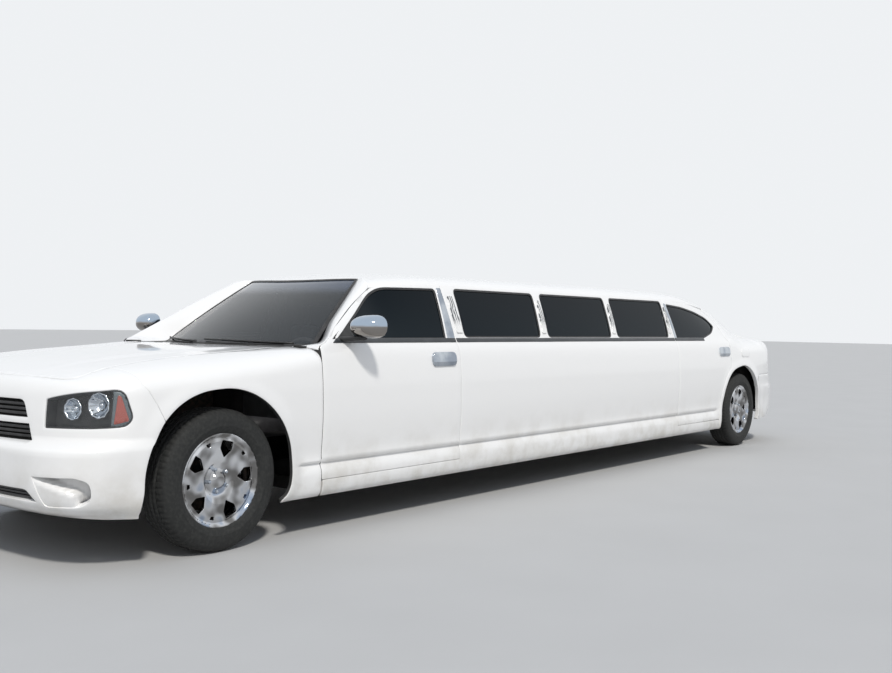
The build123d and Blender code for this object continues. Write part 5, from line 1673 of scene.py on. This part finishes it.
def cushion(name, low, high, crown, channels=0, lean=0.0, top_axis=2, stands_for=()):
    """A crowned pad between two corners.

    A sphere's directions are pushed towards a box (power 5), so the sides bulge a little and draw in at the
    corners; the face along top_axis is crowned and pressed down along sewn channels, and lean shears the
    pad backwards with height."""
    low, high = np.array(low, float), np.array(high, float)
    turn, climb = np.meshgrid(
        np.linspace(0, 2 * np.pi, around, endpoint=False), np.linspace(-np.pi / 2, np.pi / 2, upwards)
    )
    ball = np.stack((np.cos(climb) * np.cos(turn), np.cos(climb) * np.sin(turn), np.sin(climb)), -1)
    boxed = ball / (np.sum(np.abs(ball) ** 5.0, axis=-1, keepdims=True)) ** (1 / 5.0)
    boxed = boxed / np.abs(boxed).max()
    flat_axes = [i for i in range(3) if i != top_axis]
    a, b = boxed[..., flat_axes[0]], boxed[..., flat_axes[1]]
    face = np.clip(boxed[..., top_axis], 0, 1) ** 2
    swell = crown * (1 - a**2) * (1 - b**2) * face
    if channels:
        across = boxed[..., 1]
        groove = np.exp(-((np.abs(np.mod(across * channels / 2 + 0.5, 1) - 0.5)) / 0.05) ** 2)
        swell = swell - 0.010 * groove * face * (1 - b**4)
    pinch = 1 - 0.018 * (a * b) ** 2
    local = boxed * pinch[..., None]
    local[..., top_axis] = boxed[..., top_axis]
    points = (low + high) / 2 + local * (high - low) / 2
    points[..., top_axis] += swell - crown
    points[..., 0] -= lean * (points[..., 2] - low[2])
    rings = upwards - 2
    pole_points = np.concatenate((points[1:-1].reshape(-1, 3), points[0, :1], points[-1, :1]))
    this = np.arange(around)
    following = (this + 1) % around
    base_faces = np.stack((np.full(around, rings * around), following, this), -1)
    last = (rings - 1) * around
    tip_faces = np.stack((np.full(around, rings * around + 1), last + this, last + following), -1)
    faces = [*quads(rings, around, wrap=True), *base_faces, *tip_faces]
    made = piece(name, pole_points, faces, leather, "body", stands_for, closed=True)


# %% Seats and benches
for number, y0 in enumerate((0.145, -0.655)):
    y1 = y0 + 0.51
    replaced = ["front_seats"] if number == 0 else ()
    cushion(f"front_seat_base_{number}", (1.68, y0, 0.300), (2.235, y1, 0.560), 0.030, 4,
            stands_for=replaced)
    cushion(f"front_seat_back_{number}", (1.60, y0 + 0.01, 0.47), (1.775, y1 - 0.01, 0.985), 0.025, 4,
            0.20, 0)
    cushion(f"front_headrest_{number}", (1.535, y0 + 0.13, 0.955), (1.625, y1 - 0.13, 1.115), 0.012, 0,
            0.10, 0)
for number, y0 in enumerate((0.205, -0.195, -0.595)):
    replaced = ["cabin_benches"] if number == 0 else ()
    cushion(f"rear_seat_base_{number}", (-2.62, y0, 0.300), (-2.185, y0 + 0.39, 0.590), 0.028, 3,
            stands_for=replaced)
    cushion(f"rear_seat_back_{number}", (-2.73, y0, 0.50), (-2.58, y0 + 0.39, 1.005), 0.022, 3, 0.20, 0)
for number, x0 in enumerate(np.linspace(-1.50, 0.69, 5)):
    cushion(f"side_bench_base_{number}", (x0, -0.70, 0.300), (x0 + 0.535, -0.31, 0.585), 0.028)
    cushion(f"side_bench_back_{number}", (x0, -0.812, 0.50), (x0 + 0.535, -0.69, 0.975), 0.018)

# %% [markdown]
# The solid floor ends in a square rear panel, and its corners would stand outside the rounded tail. A
# copy of it is drawn in, seen from above, until it lies just inside the tail's skin.

# %% The floor pan, drawn in at the tail
pan_tail, pan_rear = -3.62, -3.90


def drawn_in(points, centre_x=-3.40, clearance=0.012, highest=0.998):
    """Points past the tail skin, pulled along their ray towards (centre_x, 0) until they lie inside it.

    Near the deck the skin rolls inwards, so the points there are drawn in by up to 70 mm more, and none
    behind pan_rear is higher than highest."""
    skin = tail_skin(np.linspace(tail_end, pan_tail, 160), np.full(160, 0.80))
    skin_angle = np.arctan2(skin[:, 1], centre_x - skin[:, 0])
    skin_reach = np.hypot(skin[:, 1], centre_x - skin[:, 0]) - clearance
    reach = np.hypot(points[:, 1], centre_x - points[:, 0])
    limit = np.interp(np.arctan2(np.abs(points[:, 1]), centre_x - points[:, 0]), skin_angle, skin_reach)
    limit = limit - 0.07 * rise(points[:, 2], 0.90, 0.99)
    share = np.where(points[:, 0] < pan_tail, np.minimum(1, limit / np.maximum(reach, 1e-9)), 1)
    high = np.where(points[:, 0] < pan_rear, np.minimum(points[:, 2], highest), points[:, 2])
    return np.stack((centre_x - (centre_x - points[:, 0]) * share, points[:, 1] * share, high), -1)


floor_mesh = bpy.data.objects["floor_pan"].data
floor_points = np.empty(len(floor_mesh.vertices) * 3)
floor_mesh.vertices.foreach_get("co", floor_points)
floor_faces = [face.vertices for face in floor_mesh.polygons]
piece("floor_pan_dressed", drawn_in(floor_points.reshape(-1, 3)), floor_faces, underside,
      stands_for=["floor_pan"], smooth=False, weld=2e-5)

# %% [markdown]
# The engine, the axles, the exhaust, the dashboard, the steering wheel and the partition keep their CAD
# shapes, because little of them shows. They only get the finishes that they have on the car.

# %% Finishes for the CAD nodes that stay
for node, finish in {
    "engine_block": iron, "exhaust": steel, "propeller_shaft": iron, "rear_axle": iron,
    "front_suspension": iron, "front_knuckle_left": iron, "front_knuckle_right": iron,
    "dashboard": soft_trim, "steering_wheel": leather, "partition": soft_trim,
}.items():
    made = bpy.data.objects[node]
    made.data.materials.clear()
    made.data.materials.append(finish.material)
print("pieces", len(all_pieces), "faces", sum(len(p.data.polygons) for p in all_pieces.values()))


# %% [markdown]
# ## Stage and light
#
# The car stands on a pale floor under a large soft sky, with the sun high at the front left, as its
# shadow under the mirror shows. The camera, polished metal and clear glass see a pale backdrop in place of
# the sky.

# %% Floor and lights
sky_strength = 0.78
world = bpy.data.worlds.new("sky")
world.use_nodes = True
sky = world.node_tree
skyward = shader_node(sky, "ShaderNodeSeparateXYZ", {}, "Z", {
    "Vector": shader_node(sky, "ShaderNodeTexCoord", {}, "Generated", {}),
})
sky_colours = [(0.0, (0.66, 0.65, 0.63)), (0.75, (0.62, 0.70, 0.84))]
dome = shader_node(sky, "ShaderNodeValToRGB", {"stops": sky_colours}, 0, {"Fac": skyward})
seen = sum(
    shader_node(sky, "ShaderNodeLightPath", {}, f"Is {kind} Ray", {})
    for kind in ("Camera", "Glossy", "Transmission")
)
lit = shader_node(sky, "ShaderNodeBackground", {}, 0, {"Color": dome, "Strength": sky_strength})
backdrop = shader_node(sky, "ShaderNodeBackground", {}, 0, {"Color": (0.86, 0.88, 0.90, 1), "Strength": 1.0})
both = shader_node(sky, "ShaderNodeMixShader", {}, 0, {0: seen, 1: lit, 2: backdrop})
sky.links.new(both.link, sky.nodes["World Output"].inputs["Surface"])
bpy.context.scene.world = world
bpy.context.scene.view_settings.view_transform = "Standard"

ground = Finish("studio_floor", Roughness=0.85)
ground.mottle(1.5, (0.46, 0.46, 0.455), (0.50, 0.50, 0.495), edges=None)
mesh = bpy.data.meshes.new("floor")
reach = 90
mesh.from_pydata([(-reach, -reach, 0), (reach, -reach, 0), (reach, reach, 0), (-reach, reach, 0)], [],
                 [(0, 1, 2, 3)])
mesh.materials.append(ground.material)
floor = bpy.data.objects.new("floor", mesh)
bpy.context.scene.collection.objects.link(floor)

sun = bpy.data.lights.new("sun", "SUN")
sun.energy = 2.4
sun.angle = math.radians(6)
sun.color = (1.0, 0.965, 0.91)
lamp = bpy.data.objects.new("sun", sun)
towards_sun = Vector((0.55, 0.75, 1.05))
lamp.rotation_euler = towards_sun.to_track_quat("Z", "Y").to_euler()
bpy.context.scene.collection.objects.link(lamp)
print("sun", round(sun.energy, 2), "sky", sky_strength)
